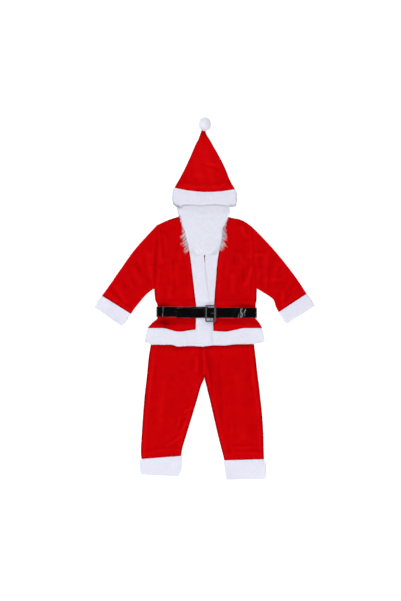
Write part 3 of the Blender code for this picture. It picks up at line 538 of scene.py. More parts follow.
# %% Vinyl and nickel
GRAIN_MM = 1.4      # the pressed grain is 0.7 mm; drawn coarser so that it shows
SMEAR_MM = 12
WEAR_MM = 4
belt_vinyl, tree, shader, place = new_material("gloss_pvc_black", {
    "Base Color": linear("#050507"), "IOR": 1.53, "Coat Weight": 0.35, "Coat Roughness": 0.08})
grain = add_node(tree, "TexVoronoi", {"Vector": place, "Scale": 1 / (GRAIN_MM * MM)})
smears = add_node(tree, "TexNoise", {"Vector": place, "Scale": 1 / (SMEAR_MM * MM), "Detail": 2.0})
rough = add_node(tree, "MapRange", {"Value": smears, "To Min": 0.16, "To Max": 0.30})
bump = add_node(tree, "Bump", {"Height": grain, "Strength": 0.12, "Distance": 0.1 * MM})
fill(shader, {"Roughness": rough, "Normal": bump})

nickel, tree, shader, place = new_material("nickel_plated_zinc", {
    "Base Color": linear("#6c6c70"), "Metallic": 1.0})
wear = add_node(tree, "TexNoise", {"Vector": place, "Scale": 1 / (WEAR_MM * MM), "Detail": 3.0})
rough = add_node(tree, "MapRange", {"Value": wear, "To Min": 0.25, "To Max": 0.4})
fill(shader, {"Roughness": rough})
print("materials:", [finish.name for finish in (velvet, plush, beard_fur, belt_vinyl, nickel)])

# %% [markdown]
# Every piece rides on the one body and stands for its node, whose solid it hides.


def place_piece(piece, node):
    """Put a piece on the body, and in place of its solid if it has one."""
    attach(piece, "root")
    if node:
        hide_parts(node)
    return piece


def declare_cloth(piece, node):
    """Put a piece of cloth on the body, in place of its solid."""
    place_piece(piece, node)



# %% [markdown]
# ## Velvet that has been folded and laid out
# Laid velvet keeps the soft ridges of its packing folds, small dents, and streaks where the nap
# was pressed. It could be sculpted with the Cloth brush, but a table is easier to correct: each
# garment has one of large folds and one of finer creases, and a random surface gives the rest.
# The painted value follows the curve of the cloth: a painted highlight on crests and painted
# shade in hollows, with painted shade along free edges too. Where an edge is sewn to the next
# piece, it stays up and gets no painted edge shade.


# %% Nap, painted light and shade, and small unevenness
VELVET_EDGE = (1.6, 0.35)      # the wall thins over this many mm, down to this share
FREE_EDGE_MM = 3.0             # a free edge bends down over this width
FREE_EDGE_DROP = 0.55 * VELVET
SEWN_RISE, PAST_RIM = 0.7, 8       # a sewn edge stays up, and gets no painted edge shade
# painted shade along free edges, where the cloth turns away from the light: how much, and how wide in mm
RIM_SHADE, RIM_MM = 0.4, 7
# the most painted highlight on a crest, or painted shade in a hollow
MOST_CREST = 0.1


def uneven(x, y, seed):
    """Small dents of laid velvet, in millimetres."""
    return sum(high * wobble(x, y, size, seed + turn)
               for turn, (high, size) in enumerate([(0.45, 60), (0.14, 24), (0.03, 8)]))


def nap_light_and_shade_of(z, x, y, edge, marks=()):
    """0 is dark and 1 is pale: a painted highlight on crests and painted shade in hollows from the curve of
    the surface, painted shade at its rim, and listed marks of nap and of painted light and shade.
    """
    smooth = z.copy()
    for _ in range(6):
        smooth[1:-1, 1:-1] = (smooth[:-2, 1:-1] + smooth[2:, 1:-1]
                              + smooth[1:-1, :-2] + smooth[1:-1, 2:]) / 4
    crest_light_and_shade = np.clip((z - smooth) * 0.5, -MOST_CREST, MOST_CREST)
    rim = -RIM_SHADE * (1 - smoothstep(0, RIM_MM, edge))
    return 0.5 + crest_light_and_shade + rim + nap_light_and_shade_marks(marks, x + 4 * wobble(x, y, 24, 7), y + 4 * wobble(x, y, 24, 8))


def velvet_panel(name, sections, under, pitch=4.5, corners=(), warp=None, seed=1,
                 marks=(), detail=None, sewn=None):
    """A flat-laid piece of velvet over its underside's height."""
    x, y, t, v, edge = lay_grid(sections, pitch, corners=corners)
    if warp:
        y = y + warp(x, y, t, v)
    calm = smoothstep(0, 14, edge)
    extra = uneven(x, y, seed) * calm
    if detail:
        extra = extra + detail(x, y, t, v) * calm
    z = np.maximum(under(x, y, t, v) + VELVET + extra, VELVET)
    joined = sewn(x, y, t, v) if sewn else 0.0
    bent = 1 - round_off(edge, FREE_EDGE_MM, 0)
    z = z + SEWN_RISE * joined - FREE_EDGE_DROP * bent * (1 - joined)
    tone = nap_light_and_shade_of(z, x, y, edge + PAST_RIM * joined, marks)
    piece = shell(name + "_velvet", np.stack([x, y, z], axis=-1), VELVET, velvet,
                  round_off(edge, *VELVET_EDGE), tone=tone)
    declare_cloth(piece, name)


dents = uneven(np.arange(900.0), np.arange(900.0), 3)
print("dents of laid velvet reach", round(float(dents.max()), 2), "mm")

# %% [markdown]
# ## Trousers
# Two legs, each a front laid on a back, gathered into an elastic waistband that the jacket hides.
# The gathers run out a few centimetres below the hem. One long ridge follows the inside of the
# right leg, where the cloth was folded for packing. Above the legs the fronts are sewn together.
# Each leg is its own grid, so that its folds can run down it, and the gathers are a sine wave
# whose spacing wanders, because an elastic never gathers cloth evenly.

# %% The trousers' tables
TROUSER_LEFT = [
    # outer x, y, inner x, y
    (-230, -166, 1.2, -166), (-243, -213, 1.2, -213), (-252, -267, 1.2, -276), (-259, -339, 0, -352),
    (-264, -384, -14, -389), (-271, -447, -33, -454), (-278, -537, -58, -537), (-284, -627, -84, -623),
    (-287, -690, -100, -677), (-284, -722, -105, -708),
]
TROUSER_RIGHT = [
    (211, -166, -1.2, -166), (224, -213, -1.2, -213), (231, -267, -1.2, -276), (239, -339, -0.6, -352),
    (245, -384, 7, -389), (252, -447, 23, -454), (261, -537, 42, -537), (266, -627, 62, -623),
    (267, -681, 77, -681), (268, -723, 89, -728),
]
TROUSER_FOLDS = [
    # from x, y, to x, y, half width, height
    (-7, -225, -2, -350, 11, 3.2), (1, -255, 54, -556, 13, 4.2), (62, -290, 80, -520, 12, -0.6),
    (-92, -512, -54, -490, 7, 1.3), (-80, -548, -108, -606, 8, 1.4), (-113, -528, -117, -572, 8, 0.8),
    (-94, -606, -128, -636, 8, 1.4), (-122, -634, -176, -668, 9, 0.8), (-33, -262, -38, -330, 12, 1.8),
    (-236, -262, -262, -470, 14, 2.2), (-180, -360, -205, -600, 26, 2.6), (215, -250, 236, -420, 14, 2),
    (150, -330, 176, -640, 28, 2.6), (120, -690, 240, -694, 12, 2),
]
TROUSER_CREASES = [
    # from x, y, to x, y, half width, height
    (3, -262, 30, -420, 7, 0.8), (30, -420, 52, -552, 6, 0.9), (14, -285, 48, -510, 5, -1.4),
    (-6, -240, -3, -352, 6, 0.9), (8, -244, 6, -330, 6, -0.5), (-92, -512, -54, -490, 6, 0.5),
    (-88, -528, -116, -594, 7, -0.7), (-118, -612, -158, -646, 7, -0.4), (-70, -506, -48, -514, 6, -0.5),
    (-34, -270, -37, -320, 7, 0.3), (-190, -420, -205, -560, 12, 0.4), (-234, -300, -248, -410, 9, 0.5),
    (-250, -684, -120, -676, 8, 0.6), (214, -300, 220, -400, 9, 0.5), (110, -676, 250, -672, 8, 0.6),
    (120, -640, 128, -560, 9, 0.4), (60, -450, 66, -560, 8, 0.4),
]
# Marks of pressed nap, and painted light and shade: a painted shadow in a band just under the jacket's hem,
# and painted shade and light along some creases of the legs.
TROUSER_MARKS = [
    # x, y, half width, half height, turn, change
    (-10, -206, 260, 12, 0, -0.34), (216, -222, 16, 14, 0, -0.1), (-200, -216, 20, 12, 0, -0.06),
    (-90, -270, 60, 10, 4, 0.06), (-110, -228, 72, 11, 0, -0.1), (24, -222, 30, 10, 0, -0.1),
    (150, -214, 60, 8, 0, -0.08), (-182, -290, 16, 30, 0, 0.04), (11, -300, 4, 34, 11, 0.1),
    (30, -385, 5, 80, 8.6, -0.24), (44, -420, 5, 70, 8.6, 0.05), (70, -410, 9, 84, 4.5, -0.03),
    (-22, -330, 5, 40, -6, -0.06), (-66, -500, 18, 6, 20, 0.07), (-60, -470, 5, 60, -22, -0.06),
    (-134, -640, 40, 6, 35, 0.06), (-138, -628, 30, 7, 40, -0.05), (-102, -560, 36, 6, 66, -0.09),
    (-94, -578, 32, 6, 64, 0.05), (-74, -501, 22, 5, 30, 0.07), (-190, -682, 70, 9, 2, 0.08),
    (185, -674, 68, 9, 2, 0.08), (-150, -700, 60, 5, 2, -0.07), (214, -340, 7, 60, 2, 0.05),
    (120, -600, 8, 40, 4, 0.04), (-240, -420, 8, 90, -4, 0.03), (60, -500, 7, 60, 12, -0.04),
    (100, -240, 60, 12, 0, 0.03),
]
GATHERS = 12
WAIST_Y = -166
CUFF_RISE = 3.4      # how far the velvet climbs to its cuff
print("trousers:", len(TROUSER_FOLDS), "folds and", len(TROUSER_CREASES), "creases")


# %% How the trousers lie
def below_hem(y):
    """0 under the jacket's hem, 1 below it."""
    return smoothstep(-212, -250, y)


def gather(x, y):
    """Uneven gathers that fade out below the hem."""
    phase = x / 21 + 1.5 * wobble(x, y * 0.1, 48, 71) + 0.3 * wobble(x, y, 60, 72)
    depth = smoothstep(-0.4, 0.9, wobble(x, y * 0, 27, 74)) * (0.35 + 0.4 * smoothstep(0, 120, np.abs(x)))
    fade = smoothstep(-240 + 22 * wobble(x, y * 0, 24, 73), -205, y)
    return fade * depth * np.sin(2 * math.pi * phase)


def trouser_under(x, y, t, v):
    """Thin at the outer edge, and at the inner one where the legs part."""
    outer = smoothstep(0, 0.09, t)
    inner = 1 - smoothstep(-327, -397, y) * (1 - smoothstep(0, 0.09, 1 - t))
    fade = 1 - smoothstep(WAIST_Y - 62, WAIST_Y - 124, y)
    gathers = 0.06 * np.sin(math.pi * GATHERS * t) ** 2 * fade
    lie = 0.9 + 1.1 * below_hem(y) + gathers + folds(TROUSER_FOLDS, x, y) * below_hem(y)
    free = outer * inner * (1 - smoothstep(0.95, 1, v))
    return LAYER + free * np.maximum(lie, 0) + CUFF_RISE * smoothstep(0.93, 1, v)


def trouser_detail(x, y, t, v):
    """Creases, gathers, and puckers where the leg is sewn to its cuff."""
    pucker = 0.22 * np.sin(x / 3.1 + 2 * wobble(x, y, 26, 75)) * smoothstep(0.96, 0.99, v)
    flatter = -0.45 * folds(TROUSER_FOLDS, x, y) * below_hem(y)
    return creases(TROUSER_CREASES, x, y, 201) * smoothstep(-222, -250, y) + flatter + gather(x, y) + pucker


def front_seam(x, y, t, v):
    """1 where the two fronts are sewn together, above the legs."""
    return smoothstep(-352, -325, y) * smoothstep(0.05, 0, 1 - t)


middle_front = np.array([60.0]), np.array([-400.0]), np.array([0.5]), np.array([0.5])
print("the leg's front lies", round(float(trouser_under(*middle_front)[0]), 1), "mm up")


# %% Make the trousers
def on_table(x, y, *rest):
    """The backs lie flat."""
    return 0.0 * x


for side, sections, seed in (("left", TROUSER_LEFT, 11), ("right", TROUSER_RIGHT, 31)):
    velvet_panel(f"trouser_back_{side}", sections, on_table, pitch=16, seed=seed + 9)
    velvet_panel(f"trouser_front_{side}", sections, trouser_under,
                 seed=seed, marks=TROUSER_MARKS, detail=trouser_detail, sewn=front_seam)

# %% [markdown]
# ## Jacket
# A back, two fronts and two sleeves in velvet. The fronts' shoulder seams bow up to the neck, the
# sides pull in under the belt and flare to the hem, whose seam waves because the plush is stiffer
# than the velvet. The side edges dip over the seam, to meet the sleeve or the back. It could be
# one mesh with seams painted on, but pieces cut as the real ones are give true seams and laps.

# %% The jacket's tables
FRONT_LEFT = [
    # outer x, y, inner x, y
    (-214, 331, -91, 367), (-216.9, 264, -79, 282), (-221.5, 165, -61, 165), (-227, 45, -47, 45),
    (-223, -2, -41, -2), (-212, BELT_TOP, -38, BELT_TOP), (-212, BELT_BOTTOM, -38, BELT_BOTTOM),
    (-232, -106, -39, -107), (-258, HEM_TOP, -40, HEM_TOP),
]
FRONT_RIGHT = [
    (211, 326, 90, 361), (216.2, 264, 78, 273), (225.2, 165, 58, 165), (236, 45, 48, 45), (235, -2, 45, -2),
    (230, BELT_TOP, 43, BELT_TOP), (230, BELT_BOTTOM, 39, BELT_BOTTOM), (245, -106, 39, -107),
    (260, HEM_TOP, 39, HEM_TOP),
]
BAND_INNER_LEFT = [
    (-28, 360), (-10, 273), (0, 165), (14, 45), (20, -2), (23, BELT_TOP), (28, BELT_BOTTOM), (30, -107),
    (33, HEM_TOP),
]
BAND_INNER_RIGHT = [
    (27, 360), (9, 273), (0.5, 165), (-14, 45), (-18, -2), (-19, BELT_TOP), (-24, BELT_BOTTOM), (-25, -107),
    (-27, HEM_TOP),
]
JACKET_CORNERS = (3, 5, 6)
HEM_SEAM = [
    (-258, -133), (-190, -133), (-113, -148.5), (-40, -140), (39, -145.5), (91, -148.5), (135, -141),
    (180, -133), (260, -133),
]
HEM_EDGE = [
    (-271, -194), (-234, -206), (-149, -206.5), (-117, -215), (-61, -211.5), (-17, -214.5), (43, -209),
    (83, -210), (152, -203.5), (224, -203.5), (273, -195),
]
JACKET_FOLDS = [
    # from x, y, to x, y, half width, height
    (-200, 296, -198, 160, 15, 3.2), (-160, 60, -156, -10, 16, 2.6), (-126, 158, -122, 60, 15, 1.8),
    (166, 330, 187, 270, 15, 2.6), (196, 200, 226, 186, 15, 2.2), (212, 128, 184, 52, 15, 3),
    (128, 114, 126, 20, 15, 2.2), (-206, -98, -180, -128, 15, 2.6), (-104, -98, -98, -132, 14, 1.6),
    (96, -98, 104, -134, 14, 2), (190, -98, 212, -130, 15, 2.4),
]
JACKET_CREASES = [
    # from x, y, to x, y, half width, height
    (-203, 300, -208, 200, 8, 1), (-192, 280, -186, 180, 9, -0.7), (-180, 290, -172, 220, 9, 0.6),
    (-204, 140, -210, 66, 8, 0.8), (-152, 130, -150, 30, 9, 0.6), (-112, 220, -108, 150, 9, 0.5),
    (-137, 190, -136, 120, 8, -0.5), (-74, 60, -70, 0, 12, 0.4), (-160, 60, -157, 0, 8, 0.6),
    (-206, -96, -182, -126, 8, 0.7), (-130, -104, -100, -128, 10, 0.5), (-76, -98, -68, -130, 9, 0.4),
    (166, 330, 187, 280, 8, 0.8), (150, 210, 176, 150, 9, 0.6), (206, 202, 272, 196, 8, 0.7),
    (210, 150, 196, 60, 9, 0.9), (176, 150, 172, 80, 9, -0.6), (133, 200, 134, 140, 9, -0.5),
    (104, 180, 100, 90, 10, 0.4), (226, 140, 228, 60, 8, 0.6), (66, -100, 64, -124, 9, 0.6),
    (150, -98, 170, -120, 9, -0.5), (196, -100, 214, -126, 8, 0.6), (76, -122, 68, -134, 6, -0.5),
]
# Marks of pressed nap, and painted light and shade: painted shade along the left armhole and painted shadows
# just above and below the belt; painted light along the right armhole seam and in a band above the belt.
JACKET_MARKS = [
    # x, y, half width, half height, turn, change
    (-199, 296, 7, 14, 0, -0.13), (-203, 268, 6, 45, -10, -0.11), (-219, 150, 9, 52, 0, -0.11),
    (219, 190, 5, 110, 6.6, 0.08), (-214, 276, 8, 10, 0, 0.08), (-178, 270, 8, 16, 20, 0.06),
    (-155, 306, 34, 10, 20, -0.06), (-110, 185, 7, 26, 0, 0.06), (-146, 128, 5, 40, 8, 0.05),
    (-137, 160, 5, 24, 0, -0.05), (-81, 132, 8, 12, 0, -0.06), (-72, 28, 22, 14, 0, 0.05),
    (-206, 22, 9, 24, 0, 0.06), (-184, -30, 38, 13, 0, -0.58), (-90, -23, 60, 6, 0, -0.1),
    (130, -23, 90, 6, 0, -0.08), (-110, -22, 40, 8, 0, -0.05), (-184, -106, 28, 17, 8, -0.23),
    (-178, -121, 24, 12, -16, -0.22), (-150, -113, 34, 20, 0, -0.14), (-118, -118, 44, 9, 0, -0.06),
    (-222, -106, 12, 9, 30, 0.06), (-114, -118, 18, 8, -10, 0.07), (-68, -112, 14, 10, 0, 0.04),
    (-100, -94, 110, 6, 0, -0.2), (130, -94, 110, 6, 0, -0.22), (-120, -110, 140, 22, 0, -0.04),
    (140, -112, 140, 22, 0, -0.03), (198, 300, 10, 11, 0, -0.11), (169, 304, 8, 14, 30, 0.07),
    (211, 268, 10, 8, 0, -0.07), (133, 165, 11, 20, 0, -0.1), (214, 160, 10, 16, 0, -0.09),
    (144, 334, 22, 9, -10, -0.06), (180, 318, 9, 12, 40, 0.06), (173, 147, 18, 7, 20, 0.07),
    (208, 116, 6, 34, -12, 0.09), (176, 92, 7, 20, -8, -0.09), (190, 66, 14, 20, 30, 0.06),
    (84, 15, 34, 26, 0, -0.06), (160, -31, 66, 7, 0, -0.24), (196, -36, 50, 12, 0, -0.36),
    (-90, -11, 70, 9, 0, 0.03), (140, -11, 90, 9, 0, 0.03), (66, -112, 13, 9, 0, 0.1),
    (72, -127, 10, 5, 0, -0.14), (158, -106, 26, 11, 0, -0.05), (194, -110, 20, 9, 0, 0.07),
    (62, 130, 6, 70, -3, 0.04), (50, 20, 5, 30, 0, -0.06),
]
SHOULDER_BOW = 7.0
SHOULDER_RISE = 36
SHOULDER_HALF, NECK_HALF = 212, 112
NECK_TIP, NECK_DEPTH = 12, 14
print("jacket:", len(JACKET_FOLDS), "folds and", len(JACKET_CREASES), "creases")


# %% How the jacket lies
def hem_wave(x, y, t, v):
    """How far the lower end moves to follow the hem's seam."""
    return (along(HEM_SEAM, x) - HEM_TOP) * smoothstep(0.9, 1, v)


def armhole(x, y, t, v):
    """1 where a front is sewn to its sleeve."""
    return smoothstep(36, 60, y) * smoothstep(320, 300, y) * smoothstep(0.12, 0, t)


def front_warp(x, y, t, v):
    """The bow of the shoulder seam, and the hem's wave."""
    bow = SHOULDER_BOW * np.where(x < 0, 1, 2.5 * (1 - 0.4 * t**2)) * np.sin(math.pi * t)
    return bow * (1 - smoothstep(0, 0.16, v)) + hem_wave(x, y, t, v)


def back_warp(x, y, t, v):
    """Two shoulders and the neck between them."""
    aside = np.abs(x)
    share = np.clip((SHOULDER_HALF - aside) / (SHOULDER_HALF - NECK_HALF), 0, 1)
    shoulder = SHOULDER_RISE * share + SHOULDER_BOW * np.sin(math.pi * share * 0.8)
    neck = (np.where(x < 0, NECK_TIP, 0) * smoothstep(NECK_HALF + 3, NECK_HALF, aside)
            - NECK_DEPTH * smoothstep(NECK_HALF, 20, aside))
    return (shoulder + neck) * (1 - smoothstep(0, 0.2, v))


def jacket_under(x, y, t, v):
    """Puffed over the layers below, flat at the belt, and calm at the side edges."""
    hem = smoothstep(-104, -128, y)
    lie = 1.2 * (1 - hem) * (1 - belt_press(y, -5)) + folds(JACKET_FOLDS, x, y) * (1 - belt_press(y))
    calm = smoothstep(0, 0.1, 1 - t) * smoothstep(0, 0.1, t)
    return front_lift(y) + np.maximum(lie, 0) * calm + 0.9 * hem


def jacket_detail(x, y, t, v):
    """Creases, and puckers where the velvet is sewn to the hem."""
    pucker = 0.22 * np.sin(x / 3.4 + 2.4 * wobble(x, y, 24, 76)) * smoothstep(-124, -131, y)
    flatter = -0.5 * folds(JACKET_FOLDS, x, y) * (1 - belt_press(y))
    return creases(JACKET_CREASES, x, y, 211) * (1 - 0.8 * belt_press(y)) + flatter + pucker


print("the hem's seam waves by", round(float(np.ptp([y for _, y in HEM_SEAM])), 1), "mm")

# %% Make the back and the fronts
back_sections = [(*left[:2], *right[:2]) for left, right in zip(FRONT_LEFT, FRONT_RIGHT)]
# The back's one mark is painted shade where it shows in the slit between the front bands, below the beard's
# tip.
velvet_panel("jacket_back", back_sections, lambda x, y, t, v: back_lift(y),
             pitch=9, corners=JACKET_CORNERS, warp=back_warp, seed=51, marks=[(-2, 200, 26, 60, 0, -0.45)])
for side, sections, seed in (("left", FRONT_LEFT, 61), ("right", FRONT_RIGHT, 65)):
    velvet_panel(f"jacket_front_{side}", sections, jacket_under,
                 corners=JACKET_CORNERS, warp=front_warp, seed=seed, marks=JACKET_MARKS,
                 detail=jacket_detail, sewn=armhole)


# %% [markdown]
# ## Tubes pressed flat
# Sleeves, cuffs, the waistband and the hat's brim are sewn into tubes and lie flat: a lower layer
# on the table, an upper layer on it, and a round fold at each side. A tube could be squashed with
# a lattice, but then its layers cut through each other. One function sweeps such a ring from edge
# to edge with the gap it needs, and the shell gives it its wall.


# %% Sweep a flattened tube
UNDERSIDE_PITCH = 24
FOLD_ANGLES = np.radians([-60, -30, 0, 30, 60])


def flat_tube(sections, base, puff, wall, pitch, near=EDGE_STEPS, sag=None):
    """Rings of a pressed tube. Returns the grid, the distance from the nearest, the first and the
    last end, and the top layer's x and y."""
    rows, v, length = lay_rows(sections, pitch, near)
    gap = wall * 2 + 2 * SEAM
    radius = gap / 2
    width = float(np.linalg.norm(rows[:, 2:] - rows[:, :2], axis=1).max())
    low = np.linspace(0, 1, max(3, round(width / UNDERSIDE_PITCH)))
    high = np.linspace(1, 0, max(6, round(width / pitch)))
    over, back = radius * (1 + np.sin(FOLD_ANGLES)), radius * (1 + np.sin(FOLD_ANGLES[::-1]))
    height = np.concatenate([0 * low, over, 0 * high + gap, back])
    is_top = (height > radius * 1.2).astype(float)
    top_layer = slice(len(low) + len(over), len(low) + len(over) + len(high))
    rings = []
    for row, along_v in zip(rows, v):
        left_x, left_y, right_x, right_y = row
        inset = radius / np.linalg.norm(row[2:] - row[:2])
        share = np.concatenate([inset + low * (1 - 2 * inset), 1 - inset * (1 - np.cos(FOLD_ANGLES)),
                                inset + high * (1 - 2 * inset), inset * (1 - np.cos(FOLD_ANGLES[::-1]))])
        x = left_x * (1 - share) + right_x * share
        y = left_y * (1 - share) + right_y * share
        if sag:
            y = y + sag(x, along_v)
        puffed = is_top * np.sin(math.pi * np.clip(share, 0, 1)) ** 0.35 * puff(x, y, share, along_v)
        rings.append(np.stack([x, y, base(y, along_v) + height + puffed], axis=-1))
    rings = np.array(rings)
    from_ends = np.stack([v, 1 - v]) * length
    edges = [ends[:, None] + np.zeros(rings.shape[1]) for ends in (from_ends.min(axis=0), *from_ends)]
    return rings, edges, rings[:, top_layer, 0].copy(), rings[:, top_layer, 1].copy()


print("a fold turns in", len(FOLD_ANGLES), "steps")

# %% [markdown]
# ## Sleeves and waistband
# The sleeve is one piece of velvet folded along its upper edge. It lies beside the jacket's body,
# and its end is drawn a little over the body, which covers the armhole seam. The waistband is a
# short tube that the jacket hides, so it has only a plain ripple.

# %% The sleeves' tables
SLEEVE_LEFT = [
    # outer x, y, inner x, y
    (-214, 331, -227, 45), (-259, 283, -247, 31), (-315, 220, -270, 10), (-374, 138, -295, -20),
    (-421, 70, -315, -45), (-462, 13, -331, -69),
]
SLEEVE_RIGHT = [
    (211, 326, 236, 45), (254, 283, 262, 29), (310, 223, 288, 13), (371, 149, 312, -8), (421, 82, 321, -36),
    (460, 22, 334, -61),
]
SLEEVE_FOLDS = [
    # from x, y, to x, y, half width, height
    (-250, 210, -240, 90, 17, 2.8), (-330, 150, -285, 60, 18, 2.2), (-400, 60, -350, -20, 16, 2.2),
    (276, 200, 272, 70, 17, 3), (330, 170, 300, 60, 18, 2.2), (351, 40, 352, -40, 15, 2.4),
    (420, 60, 380, 0, 15, 2),
]
SLEEVE_CREASES = [
    # from x, y, to x, y, half width, height
    (-236, 236, -232, 150, 8, 0.6), (-250, 150, -234, 66, 8, 0.8), (-300, 190, -276, 120, 9, 0.5),
    (-352, 110, -318, 40, 10, 0.5), (-392, 40, -346, -30, 8, 0.7), (-380, 90, -330, 20, 9, -0.4),
    (214, 202, 274, 196, 8, 0.7), (279, 110, 276, 40, 8, 0.7), (248, 140, 242, 70, 8, 0.5),
    (349, 30, 352, -36, 8, 0.9), (300, 92, 350, 84, 9, 0.5), (336, 30, 330, -10, 8, -0.6),
    (400, 90, 366, 40, 9, 0.4), (300, 240, 284, 190, 9, 0.4), (330, 160, 320, 120, 8, 0.5),
]
# Marks of pressed nap, and painted light and shade: painted shade along the left armhole, and painted light
# along the right armhole seam.
SLEEVE_MARKS = [
    # x, y, half width, half height, turn, change
    (-227, 150, 8, 52, 0, -0.08), (221, 190, 5, 110, 6.6, 0.08), (-288, 226, 16, 7, 48, 0.07),
    (-326, 147, 12, 14, 0, -0.1), (-290, 129, 10, 10, 0, -0.08), (-301, 187, 9, 10, 0, -0.06),
    (-362, 54, 8, 9, 0, -0.09), (-324, 32, 9, 10, 0, -0.07), (-268, 66, 14, 14, 0, -0.06),
    (-242, 112, 5, 38, 22, 0.08), (-358, 129, 14, 6, 50, 0.06), (-346, -12, 10, 8, 0, 0.06),
    (-380, 70, 8, 20, -40, 0.05), (240, 197, 30, 5, 2, 0.09), (277, 66, 5, 28, 2, 0.09),
    (313, 88, 30, 6, 0, 0.08), (313, 60, 26, 9, 0, -0.07), (349, -4, 5, 26, 0, 0.12),
    (331, 8, 8, 22, 0, -0.1), (268, 212, 9, 8, 0, 0.06), (250, 215, 9, 8, 0, -0.06),
    (326, 147, 8, 12, 20, -0.07), (313, 128, 6, 8, 0, 0.06), (353, 138, 7, 12, 30, 0.06),
    (254, 80, 12, 20, 0, -0.05),
]
SEAM_COVER = 2.4
WAISTBAND = [(-229, -141, 210, -141), (-229, -165, 210, -165)]
WAISTBAND_TONE = 0.36
print("sleeves:", len(SLEEVE_FOLDS), "folds and", len(SLEEVE_CREASES), "creases")


# %% Make the sleeves and the waistband
def sleeve_puff(x, y, share, v):
    """How far the upper layer puffs: its folds, the rise to the cuff, puckers and creases."""
    lie = 0.5 + 0.7 * smoothstep(0, 0.05, v) + 0.6 * folds(SLEEVE_FOLDS, x, y) * smoothstep(0, 0.08, v)
    rise = CUFF_RISE * smoothstep(0.86, 1, v)
    pucker = 0.2 * np.sin(y / 2.6 + 2 * wobble(x, y, 20, 78)) * smoothstep(0.95, 0.99, v)
    fine = (uneven(x, y, 81) + creases(SLEEVE_CREASES, x, y, 221)) * smoothstep(0, 0.06, v) + pucker
    return np.maximum(lie * (1 - smoothstep(0.92, 1, v)) + rise + fine, 0)


def waist_puff(x, y, share, v):
    return 0.5 + 0.2 * np.sin(x / 2.2)


def velvet_tube(name, rings, edge, tone):
    piece = shell(name + "_velvet", rings, VELVET, velvet, round_off(edge, *VELVET_EDGE), True, tone)
    declare_cloth(piece, name)


def on_floor(y, v):
    return 0.0 * y


for side, sections, out in (("left", SLEEVE_LEFT, -1), ("right", SLEEVE_RIGHT, 1)):
    top_x, top_y, under_x, under_y = sections[0]
    first = (top_x + out * 0.2, top_y, under_x + out * 0.2, under_y)
    rings, edges, x, y = flat_tube([first, *sections[1:]], on_floor, sleeve_puff, VELVET, 4.5)
    edge, from_body, from_cuff = edges
    rings[..., 0] -= out * SEAM_COVER * (rings[..., 2] > 2.4) * smoothstep(9, 0, from_body)
    ring_x, ring_y, ring_z = np.moveaxis(rings, -1, 0)
    tone = nap_light_and_shade_of(ring_z, ring_x, ring_y, np.minimum(from_cuff, from_body + PAST_RIM), SLEEVE_MARKS)
    velvet_tube(f"sleeve_{side}", rings, edge, tone)

rings, edges, x, y = flat_tube(WAISTBAND, on_floor, waist_puff, VELVET, 6)
velvet_tube("trouser_waistband", rings, edges[0], WAISTBAND_TONE + 0 * edges[0])

# %% [markdown]
# ## Plush trims
# Short plush has no single surface: its fibres stand in small tufts, lean a little towards the
# ground and spill over every edge. A base shell with low lumps carries a few thousand small
# tufts, each a slim pyramid. Particle hair would do, but it leaves no mesh for the export, so
# the tufts are worked out as arrays and joined in one mesh for each trim. Light from above gets
# in between real tufts, so the normals of each one lean up, which makes their sides brighter.

# %% Where tufts grow
chance = np.random.default_rng(2412)
TUFT_SPACING = 1.7      # real tufts are 0.8 mm apart; drawn coarser, as wider tufts
TUFT_LENGTH, TUFT_WIDTH = 2.9, 0.9
TUFT_DEPTH = 0.5        # how deep a root is in the base
LEAN, DISORDER = 0.8, 0.6
LIT_FROM_UP, LIT_FROM_SIDE = 0.6, 0.45
FACES_DOWN = -0.35      # where a normal's z is below this, no pile grows
DOWN = (0, -1, 0)


def cell_areas(grid, normal):
    """The area of each cell of a grid, but 0 on the underside, which grows no pile."""
    across, down = np.diff(grid, axis=1)[:-1], np.diff(grid, axis=0)[:, :-1]
    return np.linalg.norm(np.cross(across, down), axis=-1) * (normal[:-1, :-1, 2] > FACES_DOWN)


def scatter(grid, count, normal):
    """Random points over a grid, as many on each square millimetre."""
    columns = grid.shape[1]
    area = cell_areas(grid, normal).ravel()
    cell = chance.choice(len(area), size=count, p=area / area.sum())
    row, column = cell // (columns - 1), cell % (columns - 1)
    s, q = chance.random((2, count, 1))
    blend = lambda field: (field[row, column] * (1 - s) * (1 - q) + field[row, column + 1] * s * (1 - q)
                           + field[row + 1, column] * (1 - s) * q + field[row + 1, column + 1] * s * q)
    return blend(grid), unit(blend(normal))


print("one tuft every", TUFT_SPACING, "mm, so", round(1e4 / TUFT_SPACING**2), "on a square decimetre")


# %% Make tufts
def lock_faces(count, levels=1):
    """Faces of three-sided locks, each with this many rings of three points and a tip."""
    start = (np.arange(count) * (3 * levels + 1))[:, None]
    quads, triangles = [], [start + np.array([[0, 2, 1]])]
    for corner in range(3):
        beside_it, top = (corner + 1) % 3, 3 * (levels - 1)
        triangles.append(start + np.array([[top + corner, top + beside_it, top + 3]]))
    for level in range(0, 3 * (levels - 1), 3):
        for corner in range(3):
            a, b = level + corner, level + (corner + 1) % 3
            quads.append(start + np.array([[a, b, b + 3, a + 3]]))
    return [np.concatenate(group) for group in (quads, triangles) if group]


